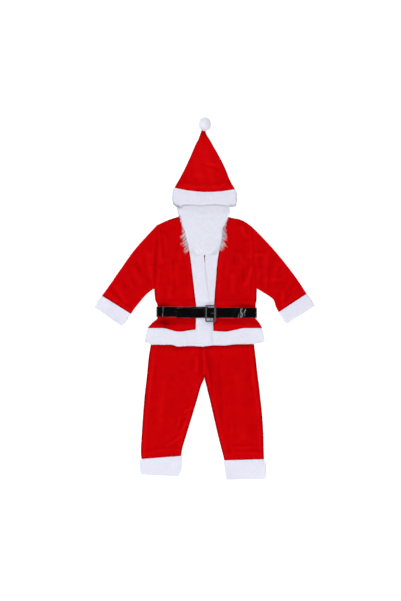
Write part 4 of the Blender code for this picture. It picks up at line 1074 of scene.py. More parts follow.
def add_tufts(name, roots, up, lean, length, width):
    """Slim three-sided tufts that lean, joined in one mesh."""
    count = len(roots)
    length = np.reshape(length, (-1, 1)) * chance.uniform(0.7, 1.2, (count, 1))
    twist = chance.uniform(0, 2 * math.pi, count)
    side = unit(np.cross(up, chance.normal(size=(count, 3))))
    other = np.cross(up, side)
    soft = up + [0, 0, LIT_FROM_UP]
    points, lit = [], []
    for corner in range(3):
        angle = (twist + corner * 2 * math.pi / 3)[:, None]
        outward = np.cos(angle) * side + np.sin(angle) * other
        points.append(roots + width * outward)
        lit.append(soft + LIT_FROM_SIDE * outward)
    points.append(roots + unit(up * 0.35 + lean) * length)
    points, lit = (np.stack(rows, axis=1).reshape(-1, 3) for rows in (points, [*lit, soft]))
    return add_mesh(name, points, lock_faces(count), plush, unit(lit))


print("faces of one tuft:", sum(len(group) for group in lock_faces(1)))


# %% Pile on a trim
def comb(up, direction):
    """Where each tuft leans: along a direction in the surface, with some disorder."""
    return unit(up + LEAN * np.array(direction, float) + DISORDER * chance.normal(size=up.shape))


def pile_on(piece_name, grid, normal, down=DOWN, share=1.0, grey=None):
    """The standing pile of a trim, as its own mesh."""
    area = cell_areas(grid, normal).sum()
    roots, up = scatter(grid, int(share * area / TUFT_SPACING**2), normal)
    made = add_tufts(piece_name + "_pile", roots - up * TUFT_DEPTH, up, comb(up, down), TUFT_LENGTH,
                     TUFT_WIDTH)
    if grey:
        paint(made, "grey", np.repeat(grey(*roots.T), 4))
    return place_piece(made, None)


PILE_HEIGHT = 1.2                # how far the base shell stays under the solid's top
STRIP_EDGE = (4.0, 0.25)         # the base thins over this many mm, down to this share


def lumps(x, y, seed):
    """Low lumps of the pile."""
    return 0.45 * wobble(x, y, 24, seed) + 0.3 * wobble(x, y, 10, seed + 1)


def plush_strip(node, x, y, under, thick, edge, seed, share=1.0, loose=1.0, wall=None):
    """A flat trim: base shell a little lower than its solid, with pile that reaches the top."""
    base_wall = thick - PILE_HEIGHT
    z = under + base_wall + lumps(x, y, seed) * smoothstep(0, 10, edge) * loose
    full = round_off(edge, *STRIP_EDGE)
    outer = np.stack([x, y, z - 0.5 * base_wall * (1 - full)], axis=-1)
    piece = shell(f"{node}_plush", outer, wall or base_wall, plush, full)
    if not wall:
        low_edge = outer[-1:] - [0, 0, 0.8 * base_wall]
        outer = np.concatenate([outer, low_edge])        # the pile goes round it
    pile = pile_on(piece.name, outer, grid_normals(outer), share=share)
    declare_cloth(piece, node)


print("the pile stands", round(TUFT_LENGTH - TUFT_DEPTH, 1), "mm high at the most on its base")

# %% [markdown]
# ## Front bands and hem
# The bands run down both front edges, the left one over the right, into whose pile it sinks. The
# hem is a deep strip of the same plush. Under the belt the pile is pressed flat. A band could be
# a box with a hair system. A strip between the velvet's edge and the band's own keeps both lines
# true, so no gap shows between plush and velvet, and the height follows the layers below.

# %% Make the front bands
SUNK = 0.75                       # share of the step that is left where pile lies on pile
BAND_WALL = BAND_PLUSH * 0.625 - 1.0
TRIM_PITCH = 4.0
HAIR = 0.4 * SEAM                 # the trims start this far off the velvet, so that none overlap


def band_sections(front, inner):
    """From the front's edge, a hair past it, to the band's inner edge."""
    return [(seam_x + (HAIR if seam_x < edge_x else -HAIR), seam_y, edge_x, edge_y)
            for (_, _, seam_x, seam_y), (edge_x, edge_y) in zip(front, inner)]


for side, front, inner in (("right", FRONT_RIGHT, BAND_INNER_RIGHT), ("left", FRONT_LEFT, BAND_INNER_LEFT)):
    x, y, t, v, edge = lay_grid(band_sections(front, inner), TRIM_PITCH, corners=JACKET_CORNERS)
    y = y + hem_wave(x, y, t, v)
    rise = SUNK * upper_rise(y) * smoothstep(0.05, 0.4, t) if side == "left" else 0.0
    edge = np.where(v > 0.97, np.minimum(t, 1 - t) * 66, edge)
    plush_strip(f"front_band_{side}", x, y, front_lift(y) + rise, BAND_PLUSH * band_thickness(y), edge,
                seed=101, loose=1 - belt_press(y), wall=BAND_WALL)

# %% Make the hem
# side, x at its top, at the front edge and at its low end, and where the velvet's front ends
HEM_SIDES = [("right", 260, -27, 273, 39), ("left", -258, 33, -271, -40)]
back_top = HEM_TOP - SEAM
x, y, t, v, edge = lay_grid([(-258, back_top, 260, back_top), (-271, -196, 273, -196)], 9)
y = y - 9 * v * (1 - (2 * t - 1) ** 6)
plush_strip("hem_band_back", x, y, HEM_LIFT, BACK_PLUSH, edge,
            seed=5, share=0.25)
for side, outer_x, edge_x, low_x, seam_x in HEM_SIDES:
    rows = [(outer_x, HEM_TOP, edge_x, HEM_TOP), (low_x, HEM_END, edge_x, HEM_END)]
    x, y, t, v, edge = lay_grid(rows, TRIM_PITCH)
    top = along(HEM_SEAM, outer_x + (edge_x - outer_x) * t) - HAIR - HEM_TOP
    low = along(HEM_EDGE, low_x + (edge_x - low_x) * t) - HEM_END
    y = y + top * (1 - v) + low * v
    joint = (seam_x - outer_x) / (edge_x - outer_x)
    under_band = smoothstep(joint - 0.02, joint + 0.02, t)
    edge = np.minimum(edge + 60 * under_band * (1 - v), 60)          # no turned edge where the band joins it
    onto_other = smoothstep(joint + 0.012, joint + 0.09, t) if side == "left" else 0.0
    under = FRONT_HEM + SUNK * (BAND_PLUSH + BAND_STEP) * onto_other
    plush_strip(f"hem_band_{side}", x, y, under, BAND_PLUSH, edge, seed=111)

# %% [markdown]
# ## Cuffs and brim
# The cuffs and the turned-up brim are plush tubes, so the flattened tube that made the sleeves
# makes them too, with pile on its upper side and round the free end. A flat strip would do from
# above, but from the side it would show no fold. The brim's lower edge rolls under and looks
# grey there, most of all at its corners: that is painted, because no light reaches it.

# %% The outlines of the cuffs and the brim
CUFF_LEFT = [(-462, 13, -331, -69), (-480, -11, -349, -96), (-497, -36, -371, -125)]
CUFF_RIGHT = [(460, 22, 334, -61), (481, -4, 351, -87), (497, -31, 367, -114)]
TROUSER_CUFF_LEFT = [
    (-284, -722, -105, -708), (-291, -733, -100, -719), (-291, -758, -100, -753), (-287, -790, -117, -800),
]
TROUSER_CUFF_RIGHT = [
    (268, -723, 89, -728), (274, -736, 88, -739), (278, -771, 91, -771), (274, -810, 96, -815),
]
HAT_BRIM = [(-138, 498.5, 139, 491.5), (-144, 477, 145, 473), (-145, 448, 146, 446), (-140, 424, 143, 419)]
BRIM_EDGE = [
    (-170, 424), (-139, 423), (-129, 414), (-117, 411), (-107, 414), (-97, 425), (-60, 425), (-25, 422),
    (10, 425), (50, 427), (88, 422), (110, 415), (128, 413), (138, 415), (145, 423), (170, 425),
]
HAT_SEAM_SAG = 15.0
HAT_HALF = 131.0
TUBE_WALL = CUFF_PLUSH - 0.6
TUBE_EDGE = (5.0, 0.3)
print("the brim's edge waves by", round(float(np.ptp([y for _, y in BRIM_EDGE])), 1), "mm")


# %% How the cuffs and the brim lie
def plush_puff(x, y, share, v):
    return 1.0 + 0.5 * np.sin(0.09 * x + 0.05 * y) + lumps(x, y, 121)


def hat_sag(x, v):
    """How far the brim's rows bow: the seam sags in the middle, and the edge waves."""
    sag = -HAT_SEAM_SAG * np.maximum(0, 1 - (x / HAT_HALF) ** 2) * (1 - 0.95 * v)
    return sag + (along(BRIM_EDGE, x) - 424 + (x + 139) * 5 / 281) * smoothstep(0.7, 1, v)


def brim_base(y, v):
    """The brim's lower edge lies on the beard."""
    return 1.5 + 4.1 * float(smoothstep(0, 0.42, v)) + 0 * y


def brim_grey(x, y, z):
    """Painted shade at the rolled lower edge, most at its corners and nicks, and at the two side folds;
    painted light (below zero) along the middle of the lower edge, to lift its shade.
    """
    corner = smoothstep(-92, -122, x) + 0.8 * smoothstep(94, 120, x)
    nicks = 0.5 * np.exp(-(((x + 24) / 7) ** 2)) + 0.35 * np.exp(-(((x - 47) / 8) ** 2))
    line = along(BRIM_EDGE, x)
    low_edge = smoothstep(line + (7 + 12 * corner), line, y)
    rolled = (corner - 0.3 * (1 - np.minimum(corner, 1)) + nicks) * low_edge
    side = 0.45 * smoothstep(133, 145, np.abs(x))
    return 0.85 * np.clip(np.where(side > 0, np.maximum(rolled, side), rolled), -1, 1)


print("the brim lies", round(brim_base(0.0, 1.0), 1), "mm up at its lower edge")


# %% Make the cuffs and the brim
def plush_tube(node, sections, down=DOWN, base=on_floor, sag=None, grey=None):
    rings, edges, x, y = flat_tube(sections, base, plush_puff, TUBE_WALL, 4.5, (*EDGE_STEPS, 4.0), sag)
    full = round_off(edges[0], *TUBE_EDGE)
    tone = grey(*np.moveaxis(rings, -1, 0)) if grey else None
    piece = shell(f"{node}_plush", rings, TUBE_WALL, plush, full, True, tone, "grey")
    skin = wall_sides(rings, TUBE_WALL, full, True)[0]
    end = skin[-1:].copy()                       # one more ring, which half closes the free end
    middle_z = end[..., 2].mean()
    end[..., 2] = middle_z + 0.4 * (end[..., 2] - middle_z)
    skin = np.concatenate([skin, end])
    skin, normal = (np.concatenate([field, field[:, :1]], axis=1)
                    for field in (skin, grid_normals(skin, True)))
    pile = pile_on(piece.name, skin, normal, down, grey=grey)
    declare_cloth(piece, node)


plush_tube("sleeve_cuff_left", CUFF_LEFT, (-0.5, -0.8, 0))
plush_tube("sleeve_cuff_right", CUFF_RIGHT, (0.5, -0.8, 0))
plush_tube("trouser_cuff_left", TROUSER_CUFF_LEFT)
plush_tube("trouser_cuff_right", TROUSER_CUFF_RIGHT)
plush_tube("hat_brim", HAT_BRIM, base=brim_base, sag=hat_sag, grey=brim_grey)

# %% [markdown]
# ## Hat
# A front and a back of velvet, sewn together to a cone and laid flat, with its point under the
# pompom. Blender has a cone to squash, but that gives no seam, so each side is a panel between
# two lines like the jacket's. The cloth hangs in a few slack folds above the brim, and climbs
# onto it where it is sewn.

# %% The hat's tables
HAT = [
    (-9, 768, 3, 768), (-18, 745, 6, 745), (-28, 718, 23, 718), (-42, 691, 38, 691), (-65, 637, 68.5, 637),
    (-91, 583, 96, 583), (-120, 529, 118, 529), (-136, 498, 138, 491),
]
HAT_CREASES = [
    # from x, y, to x, y, half width, height
    (0, 606, 66, 598, 8, 0.6), (-10, 598, 50, 590, 8, -0.5), (57, 493, 104, 527, 6, 0.7),
    (-96, 520, -60, 510, 8, 0.5), (-20, 700, -14, 650, 8, 0.4), (4, 690, 14, 630, 9, 0.4),
    (-60, 560, 20, 548, 11, 0.4), (-100, 508, -20, 500, 9, 0.4), (60, 580, 70, 540, 9, 0.4),
]
# Marks of pressed nap, and painted light and shade: painted shade at the point, under the pompom, and broad
# lighter and darker marks.
HAT_MARKS = [
    # x, y, half width, half height, turn, change
    (-2, 726, 9, 9, 0, -0.08), (-17, 700, 7, 8, 0, 0.07), (7, 660, 8, 14, 0, 0.05),
    (42, 599, 22, 5, 0, 0.08), (60, 579, 11, 9, 0, -0.09), (20, 588, 9, 7, 0, -0.07),
    (-8, 600, 20, 6, 0, -0.05), (-88, 531, 13, 8, 0, -0.07), (-78, 512, 20, 5, 0, 0.07),
    (80, 509, 28, 5, 36, 0.1), (70, 502, 24, 4, 36, -0.06), (0, 488, 130, 7, 0, -0.08),
    (-3, 764, 12, 9, 0, -0.4), (0, 514, 130, 22, 0, 0.12), (0, 620, 70, 110, 0, 0.15),
]
BRIM_RISE = 6.4      # how far the cone climbs onto the brim
print("hat:", len(HAT_CREASES), "creases and", len(HAT_MARKS), "marks")


# %% Make the hat's cone
def cone_warp(x, y, t, v):
    """The lower end follows the brim's seam."""
    return hat_sag(x, 0) * smoothstep(0.5, 1, v)


def slack(x, y, t, v, height):
    """Slack folds in the cone's lower half."""
    return height * np.sin(0.11 * x + 0.03 * y) * np.sin(math.pi * t) * smoothstep(0.3, 0.6, v)


def above_brim(v):
    return 1 - smoothstep(0.9, 1, v)


def cone_under(x, y, t, v):
    lie = 3.0 * np.sin(math.pi * t) ** 0.8 * smoothstep(0.05, 0.4, v)
    puff = np.maximum(lie + slack(x, y, t, v, 1.6), 0) * above_brim(v)
    return LAYER + puff + BRIM_RISE * smoothstep(0.86, 1, v)


def cone_detail(x, y, t, v):
    return creases(HAT_CREASES, x, y, 231) + slack(x, y, t, v, -1.1) * above_brim(v)


velvet_panel("hat_back", HAT, lambda x, y, t, v: 2.6 * smoothstep(0.88, 1, v), pitch=10,
             warp=cone_warp, seed=91)
velvet_panel("hat_front", HAT, cone_under, pitch=4, warp=cone_warp, seed=95,
             marks=HAT_MARKS, detail=cone_detail)

# %% [markdown]
# ## Pompom
# A ball of the same plush, stuffed, at the hat's point. A round core carries pile that stands
# out all round, in shorter and thicker tufts than the trims', as on a ball of cut yarn. A UV
# sphere would do as the core, but this one comes from the same grid tools and is flat where it
# lies. Painted light over the whole ball lifts the shade between its tufts.

# %% Make the pompom's core
POMPOM_MIDDLE = np.array([1.4, 783.9, 24.2])
POMPOM_RADII = np.array([26.4, 29.2, 23.0])
POMPOM_PAINTED_LIGHT = -0.4
POMPOM_TUFTS, POMPOM_TUFT = 10000, (1.9, 1.7)      # how many, and their length and width
TURNS, RINGS = 48, 32
theta = np.linspace(0.02, math.pi - 0.02, RINGS)[:, None]
phi = np.linspace(0, 2 * math.pi, TURNS, endpoint=False)[None, :]
ball = np.stack([np.sin(theta) * np.cos(phi), np.sin(theta) * np.sin(phi), np.cos(theta) + 0 * phi], axis=-1)
core_points = POMPOM_MIDDLE + POMPOM_RADII * ball.reshape(-1, 3)
core_points[:, 2] = np.maximum(core_points[:, 2], 0.4)
core = add_mesh("pompom_core", core_points, capped(RINGS, TURNS), plush)
place_piece(core, "pompom")
print("pompom (mm):", (2 * POMPOM_RADII).tolist())

# %% The pompom's pile
directions = unit(chance.normal(size=(POMPOM_TUFTS, 3)))
droop = unit(directions + [0, -0.1, -0.05] + 0.35 * chance.normal(size=directions.shape))
pompom_pile = add_tufts("pompom_pile", POMPOM_MIDDLE + POMPOM_RADII * directions, directions, droop,
                        *POMPOM_TUFT)
place_piece(pompom_pile, None)
# painted light on the core and the pile alike
for piece in (core, pompom_pile):
    paint(piece, "grey", np.full(len(piece.data.vertices), POMPOM_PAINTED_LIGHT))
print("pompom tufts:", POMPOM_TUFTS)

# %% [markdown]
# ## Beard
# Long acrylic fur on a cloth pad. It is combed down and outwards, in locks that wave a little, and
# the longest hairs fan out over the red at both sides. Blender's hair curves would comb it by
# hand, but the export takes meshes only, so each hair is a slim curved spike. They start in
# locks, rise a little and come down on what lies under them. The pad below is a shell, domed
# across and thin at the top and the tip.

# %% The beard's pad
BEARD = [
    # left x, y, right x, y
    (-112, 448, 108, 448), (-121, 408, 112, 408), (-116, 381, 110, 381), (-106, 349, 99, 349),
    (-92, 309, 84, 309), (-84, 264, 78, 264), (-68, 230, 65, 230), (-38, 210, 36, 210), (-9, 201, 7, 201),
]
BEARD_DEPTH = 9.0
PAD_INSET = 3.5
PAD_WALL = 3.0
PAD_LOW, PAD_HIGH = 206, 446


def inset(outline, distance):
    """A side line moved towards the beard's middle."""
    ahead = unit(np.gradient(outline, axis=0))
    inward = np.stack([-ahead[:, 1], ahead[:, 0]], axis=1)
    inward *= np.where(inward[:, :1] * outline[:, :1] < 0, 1, -1)
    return outline + inward * distance


def beard_lift(y):
    """The beard lies on the jacket's fronts, and its top end low under the brim."""
    return BEARD_LIFT * smoothstep(412, 374, y)


def pad_height(y, t):
    """The pad's upper side."""
    body = 0.52 + 0.48 * smoothstep(410, 340, y)
    full = round_off(np.minimum(t, 1 - t) * 150, 30, 0.3) * (0.2 + 0.8 * smoothstep(200, 285, y))
    return beard_lift(y) + 1.2 - 0.8 * smoothstep(262, 215, y) + (BEARD_DEPTH - 3.7) * body * full


left_line, right_line = np.hsplit(np.array(BEARD, float), 2)
pad = np.hstack([inset(left_line, PAD_INSET), inset(right_line, PAD_INSET)])
pad_x, pad_y, t, v, edge = lay_grid(pad, 5.0, near=(1.0, 3.0))
pad_z = pad_height(pad_y, t) + 0.5 * wobble(pad_x, pad_y, 16, 131) * smoothstep(0, 12, edge)
pad_top = np.stack([pad_x, pad_y, pad_z], axis=-1)
beard = shell("beard_pad", pad_top, PAD_WALL, beard_fur, round_off(edge, 3, 0.3))
print("beard pad:", len(beard.data.polygons), "faces")


# %% Curved hairs
def grow(name, roots, heading, length, lift, wave, width, floor, levels):
    """Curved hairs that run along heading, rise by lift, wave sideways and come down on a floor."""
    heading = unit(heading)
    side = np.stack([-heading[:, 1], heading[:, 0], 0 * heading[:, 0]], axis=1)
    phase = chance.uniform(0, 2 * math.pi, (len(roots), 1))
    rings, lit = [], []
    for step in np.linspace(0, 1, levels + 1):
        sway = wave * (np.sin(phase + step * 4.2) - np.sin(phase)) * step
        centre = roots + heading * length * step + side * sway
        high = roots[:, 2] + lift * math.sin(math.pi * min(1, step * 0.8 + 0.12)) - 2.5 * step
        centre[:, 2] = np.maximum(high, floor(centre[:, 0], centre[:, 1]) + 0.4)
        radius = width * (1 - step) ** 0.7
        for angle in np.radians([90, 210, 330]) if step < 1 else ():
            outward = side * math.cos(angle) + [0, 0, 0.7 * math.sin(angle)]
            rings.append(centre + radius * outward)
            lit.append(0.5 * outward + [0, 0, 1])
    rings.append(centre)
    lit.append(np.tile([0.0, 0, 1], (len(roots), 1)))
    points, lit = (np.stack(rows, axis=1).reshape(-1, 3) for rows in (rings, lit))
    return add_mesh(name, points, lock_faces(len(roots), levels), beard_fur, unit(lit)), points


print("faces of a hair with four rings:", sum(len(group) for group in lock_faces(1, 4)))


# %% What the fur lies on
def chest(x, y):
    """Height of what the beard's hairs come down on: bands and velvet, or the table by the neck."""
    on_band = smoothstep(88, 76, np.abs(x) + 0.1 * (y - 200)) * smoothstep(360, 340, y)
    return (LAYER + VELVET + 1.4) * smoothstep(384, 364, y) + 2.0 * on_band


def beard_sides(y):
    """x of the beard's left and right edge."""
    return [np.interp(y, line[::-1, 1], line[::-1, 0]) for line in (left_line, right_line)]


def fur_floor(x, y):
    """What the locks lie on: the pad, and past its edges what is under the beard."""
    left, right = beard_sides(y)
    t = np.clip((x - left) / (right - left), 0, 1)
    on_pad = (t > 0) & (t < 1) & (y > PAD_LOW)
    return np.maximum(chest(x, y), np.where(on_pad, pad_height(y, t) - 0.3, 0))


def half_beard(y):
    left, right = beard_sides(y)
    return (right - left) / 2


def combed(x, y):
    """Fur direction on the pad: down, and gathered towards the tip as the outline is."""
    narrowing = np.clip((half_beard(y + 12) - half_beard(y - 12)) / 24, -0.2, 0.3)
    share = np.clip(x / half_beard(y), -1, 1)
    return np.stack([-share * narrowing, -1.0 + 0 * x, 0 * x], axis=1)


print("the beard is", round(float(2 * half_beard(300))), "mm wide half way down")

# %% Place the locks
LOCKS, LOCKS_ALL_OVER = 1300, 790      # those past the second number only grow at the tip
HAIRS_IN_A_LOCK = 10
TIP_Y = 262


def many(field):
    return np.repeat(field, HAIRS_IN_A_LOCK, axis=0)


lock_roots, lock_up = scatter(pad_top, LOCKS, grid_normals(pad_top))
kept = (np.arange(LOCKS) < LOCKS_ALL_OVER) | (lock_roots[:, 1] < TIP_Y)
lock_roots, lock_up = lock_roots[kept], lock_up[kept]
# Each lock is combed its own way, and its hairs start apart and draw together at its end.
lock_heading = combed(*lock_roots[:, :2].T) + chance.normal(size=lock_roots.shape) * [0.13, 0.1, 0]
lock_length = chance.uniform(24, 44, (len(lock_roots), 1))
apart = chance.normal(size=(len(lock_roots) * HAIRS_IN_A_LOCK, 3)) * [3.0, 4.5, 0.3]
roots = many(lock_roots - lock_up * 0.5) + apart * [1, 1, 0.5]
left, right = beard_sides(roots[:, 1])
roots[:, 0], roots[:, 1] = roots[:, 0].clip(left + 3, right - 3), roots[:, 1].clip(PAD_LOW, PAD_HIGH)
lengths = many(lock_length) * chance.uniform(0.75, 1.1, (len(roots), 1))
heading = many(lock_heading) - 0.6 * apart / lengths + chance.normal(size=roots.shape) * [0.05, 0.03, 0]
# No hair reaches past the beard's tip, which is ragged.
fall = -unit(heading)[:, 1:2]
ragged = 192 + 22 * chance.random((len(roots), 1))
lengths = np.clip(np.minimum(lengths, (roots[:, 1:2] - ragged) / np.maximum(fall, 0.2)), 5, None)
print("locks:", len(lock_roots), "of up to", round(float(lengths.max())), "mm")

# %% Grow the beard's fur
lift = 0.35 + 0.65 * smoothstep(205, TIP_Y, roots[:, 1]) + 1.8 * smoothstep(392, 416, roots[:, 1])
width = 0.8 + 0.35 * smoothstep(TIP_Y, 225, roots[:, 1:2])
fur, points = grow("beard_locks", roots, heading, lengths, lift, 1.4, width, fur_floor, levels=4)
paint(fur, "thin", smoothstep(TIP_Y, 208, points[:, 1]))        # painted light at the tip, for light that comes through the thin fur
place_piece(fur, None)
declare_cloth(beard, "beard")
print("beard hairs:", len(roots))

# %% [markdown]
# ### The wisps at the sides
# Where the fur's edge was cut, fewer and thinner hairs hang in tight locks over the velvet, the
# longest beside the middle of the beard. A flat card painted with hair would be lighter, but it
# shows its edge from the side, so these are the same curved hairs, grown along the two edges.

# %% Locks at the sides
SIDE_LOCKS = 25
for side, outline, out in (("left", left_line, -1), ("right", right_line, 1)):
    run = run_of(outline)
    start = np.linspace(62, run[-1] - 66, SIDE_LOCKS) + chance.uniform(-2, 2, SIDE_LOCKS)
    spot = cubic(run, outline, start)
    spot[:, 0] -= out * chance.uniform(2, 6, SIDE_LOCKS)
    low = smoothstep(398, 330, spot[:, 1])
    longer = smoothstep(372, 268, spot[:, 1])
    aside = 0.25 + (0.3 * low + 0.6 * longer) * smoothstep(190, 240, spot[:, 1])
    heading = np.stack([out * aside, -1.0 + 0 * low, 0 * low], axis=1)
    heading += chance.normal(size=heading.shape) * [0.12, 0.1, 0]
    reach = (6 + 5 * low + 25 * longer) * chance.uniform(0.55, 1.15, SIDE_LOCKS)
    apart = chance.normal(size=(SIDE_LOCKS * HAIRS_IN_A_LOCK, 2)) * [1.2, 1.3]
    height = beard_lift(many(spot)[:, 1]) + chance.uniform(1.5, 4.0, len(apart))
    roots = np.column_stack([many(spot) + apart, height])
    lengths = (many(reach) * chance.uniform(0.6, 1.1, len(apart)))[:, None]
    gathered = -0.4 * np.column_stack([apart, 0 * apart[:, 0]]) / np.maximum(lengths, 8)
    heading = many(heading) + gathered + chance.normal(size=roots.shape) * [0.1, 0.08, 0]
    wisps, points = grow(f"beard_wisps_{side}", roots, heading, lengths, 1.5, 1.2, 0.42, chest, levels=5)
    # painted light over every wisp, to lift the shade between the loose hairs
    paint(wisps, "thin", np.ones(len(points)))
    place_piece(wisps, f"beard_fringe_{side}")
    print(wisps.name, len(roots), "hairs up to", round(float(lengths.max())), "mm")

# %% [markdown]
# ## Belt
# A PVC strap goes round the jacket, through the buckle and ends in a tip on the left. Gloss PVC
# that was folded keeps sharp creases, which is where it flashes. A curve with a bevel would bend
# the strap, but has no points on its face to crease. So the strap is a path in x and z swept
# across its width, with fine steps where it is creased; the creases are narrow ridges.

# %% The belt's path
BELT_THICK = 1.8
BELT_WIDTH = 45.0
BELT_SIDE = 2 * LAYER + BELT_LIFT + BELT_THICK / 2 + 0.1
TAIL_SIDE = BELT_SIDE + 2.2
FIXED_Y, FREE_Y = -59.6, -64.1
BELT_LEFT, BELT_RIGHT = -217.0, 236.0
# Both ends of the strap as x and z, from the buckle to the side and back.
FIXED_PATH = [
    (17, 11), (-6, 11), (-24, 11), (-36, 10.4), (-46, 8.2), (-58, BELT_SIDE), (-120, BELT_SIDE),
    (-170, BELT_SIDE),
]
FREE_PATH = [
    (170, BELT_SIDE), (120, BELT_SIDE), (78, BELT_SIDE), (62, BELT_SIDE + 0.3), (52, 8.8), (44, 10.6),
    (36, 12.6), (30, 13.6), (24, 13.7), (16, 13.4), (6, 13.2), (-24, 13.2), (-36, 12.8), (-47, 10.9),
    (-60, TAIL_SIDE), (-100, TAIL_SIDE), (-128, TAIL_SIDE),
]
BACK_STEPS = (-140, -60, 20, 100, 170)
FINE_STEP, COARSE = 0.6, 7      # fine steps where it is creased, else every seventh of them
# x and share of the width at each end, half width, two heights
BELT_CREASES = [
    (-184, 0, -188, 1, 1.7, 0.9, 1), (-150, 0, -149, 1, 5, 0.2, 0.3), (125, 0, 126, 1, 1.5, 0.4, 0.7),
    (137, 0, 138, 1, 1.5, 0.6, 0.6), (154, 0, 154.5, 1, 1.5, 0.5, 1), (166.5, 0, 167, 1, 2.8, 1.75, 1.75),
    (185.5, 0, 178.5, 0.4, 2.8, 1.75, 1.8), (178, 0.42, 179, 0.72, 2, 1.2, 1.2),
    (179, 0.76, 173, 1, 2.7, 1.6, 1.75), (188, 0.03, 198, 0.02, 1.4, 0.8, 0.6),
    (206, 0, 208, 1, 5, 0.5, 0.4), (-100, 0, -98, 1, 7, 0.3, 0.2), (80, 0, 84, 1, 7, 0.3, 0.3),
    (226, 0, 225, 1, 3, 0.4, 0.5),
]


def half_turn(x, low, high, outward):
    radius = (high - low) / 2
    angles = np.linspace(0, math.pi, 11)[1:-1]
    return [(x + outward * radius * math.sin(a), low + radius + radius * math.cos(a)) for a in angles]


print("belt creases:", len(BELT_CREASES))

# %% The strap's run
floor = BELT_THICK / 2
turn_radius = (BELT_SIDE - floor) / 2
left_turn, right_turn = BELT_LEFT + floor + turn_radius, BELT_RIGHT - floor - turn_radius
fixed = [*FIXED_PATH, (left_turn, BELT_SIDE), *half_turn(left_turn, floor, BELT_SIDE, -1)]
under = [(at_x, floor) for at_x in (left_turn, *BACK_STEPS, right_turn)]
free = [*half_turn(right_turn, floor, BELT_SIDE, 1)[::-1], (right_turn, BELT_SIDE), *FREE_PATH]
path = np.array(fixed + under + free)
middles = np.concatenate([np.full(len(fixed), FIXED_Y), np.linspace(FIXED_Y, FREE_Y, len(under)),
                          np.full(len(free), FREE_Y)])
run = run_of(path)
end = run[-1]
places = np.arange(0, end, FINE_STEP)
at_x, at_z = (np.interp(places, run, path[:, axis]) for axis in (0, 1))
creased = (at_z > 3) & ((np.abs(at_x - 162) < 42) | (np.abs(at_x + 188) < 9))
tips = [0.3, 0.9, end - 0.9, end - 0.3]
places = np.unique(np.concatenate([places[creased], places[~creased][::COARSE], run, tips]))
line_x, line_z, centre_y = (np.interp(places, run, field)[:, None] for field in (*path.T, middles))
print("places along the strap:", len(places))

# %% The strap's creases
across = np.concatenate([[-1, -0.975], np.linspace(-0.94, 0.94, 23), [0.975, 1]])
share = (across + 1) / 2
tail_end = smoothstep(end - 9, end, places)[:, None]
half_width = (BELT_WIDTH / 2 + 0.4) * (1 - 0.16 * tail_end**2)
grid_x = line_x + 0 * across
grid_y = centre_y - half_width * across
relief = np.zeros_like(grid_x)
for from_x, from_share, to_x, to_share, wide, from_high, to_high in BELT_CREASES:
    part = (share - from_share) / (to_share - from_share)
    inside = smoothstep(-0.25, 0.05, part) * smoothstep(1.25, 0.95, part)
    at = from_x + (to_x - from_x) * np.clip(part, -0.2, 1.2) + 0.5 * np.sin(share * 9 + from_x)
    high = (from_high + (to_high - from_high) * np.clip(part, 0, 1)) * inside
    relief += high * np.exp(-(((grid_x - at) / wide) ** 2))
seen = (line_z > BELT_SIDE - 0.5) * 1.0
near_buckle = smoothstep(64, 78, grid_x) + smoothstep(-58, -72, grid_x)
relief = relief * seen * near_buckle + 0.2 * wobble(grid_x, grid_y, 34, 141) * seen * near_buckle
print("highest crease:", round(float(relief.max()), 1), "mm")

# %% Make the strap
outer = np.stack([grid_x, grid_y, line_z + 0 * across + np.maximum(relief, -0.25)], axis=-1)
strap_normal = unit(np.cross(np.gradient(outer, axis=1), np.gradient(outer, axis=0)))
from_end = np.minimum(places, end - places)[:, None]
full = round_off(np.minimum(BELT_WIDTH / 2 * (1 - np.abs(across)), 3 * from_end), 0.8, 0.35)
half = strap_normal * (BELT_THICK / 2 * full)[..., None]
strap = join_sides("belt_strap_vinyl", outer + half, outer - half, belt_vinyl)
place_piece(strap, "belt_strap")
print("belt strap:", round(float(end)), "mm long")

# %% [markdown]
# ## Buckle
# A cast frame with rounded bars, nickel plated, a centre bar sunk behind it and a prong that
# grips the centre bar and rests on the right bar. A cube with a bevel would give the frame, but a
# flat bar mirrors only what is right above it, and reads as one dull tone. So a section table is
# swept round the rectangle: it is rounded, and picks up the studio's lights along its edges.

# %% The buckle's measures
MIDDLE_X, MIDDLE_Y = 27.4, -67.0
BUCKLE_SIZE = (48.6, 76.5)
BUCKLE_BAR = 6.3
BUCKLE_TOP = 16.9
CORNER = 3.4
CENTRE_BAR_Z = 11.3
PRONG_Y = -65.5
PRONG_REST = BUCKLE_TOP + 1.2 + SEAM
# The frame's section: outwards and up from the middle of its bar.
SECTION = [
    (3.15, -1.3), (3.15, 0.7), (3, 1.05), (2.6, 1.2), (-1.1, 1.2), (-1.6, 1.1), (-2.6, 0.5), (-3, -0.3),
    (-3.15, -1.3),
]
print("buckle:", BUCKLE_SIZE, "mm")


# %% Sweep a bar
BAR_SIDES = 12


def sweep(name, path, radius, finish):
    """A bar with a round section, a little square, swept along a path."""
    ahead = unit(np.gradient(path, axis=0))
    side = unit(np.cross(ahead, [0, 0, 1.0]))
    up = np.cross(side, ahead)
    flatten = lambda value: np.sign(value) * np.abs(value) ** 0.75
    grid = np.stack([path + side * radius * flatten(math.cos(a)) + up * radius * flatten(math.sin(a))
                     for a in np.linspace(0, 2 * math.pi, BAR_SIDES, endpoint=False)], axis=1)
    return turn_outwards(add_mesh(name, grid.reshape(-1, 3), capped(len(grid), BAR_SIDES), finish))


print("a bar's section has", BAR_SIDES, "sides")

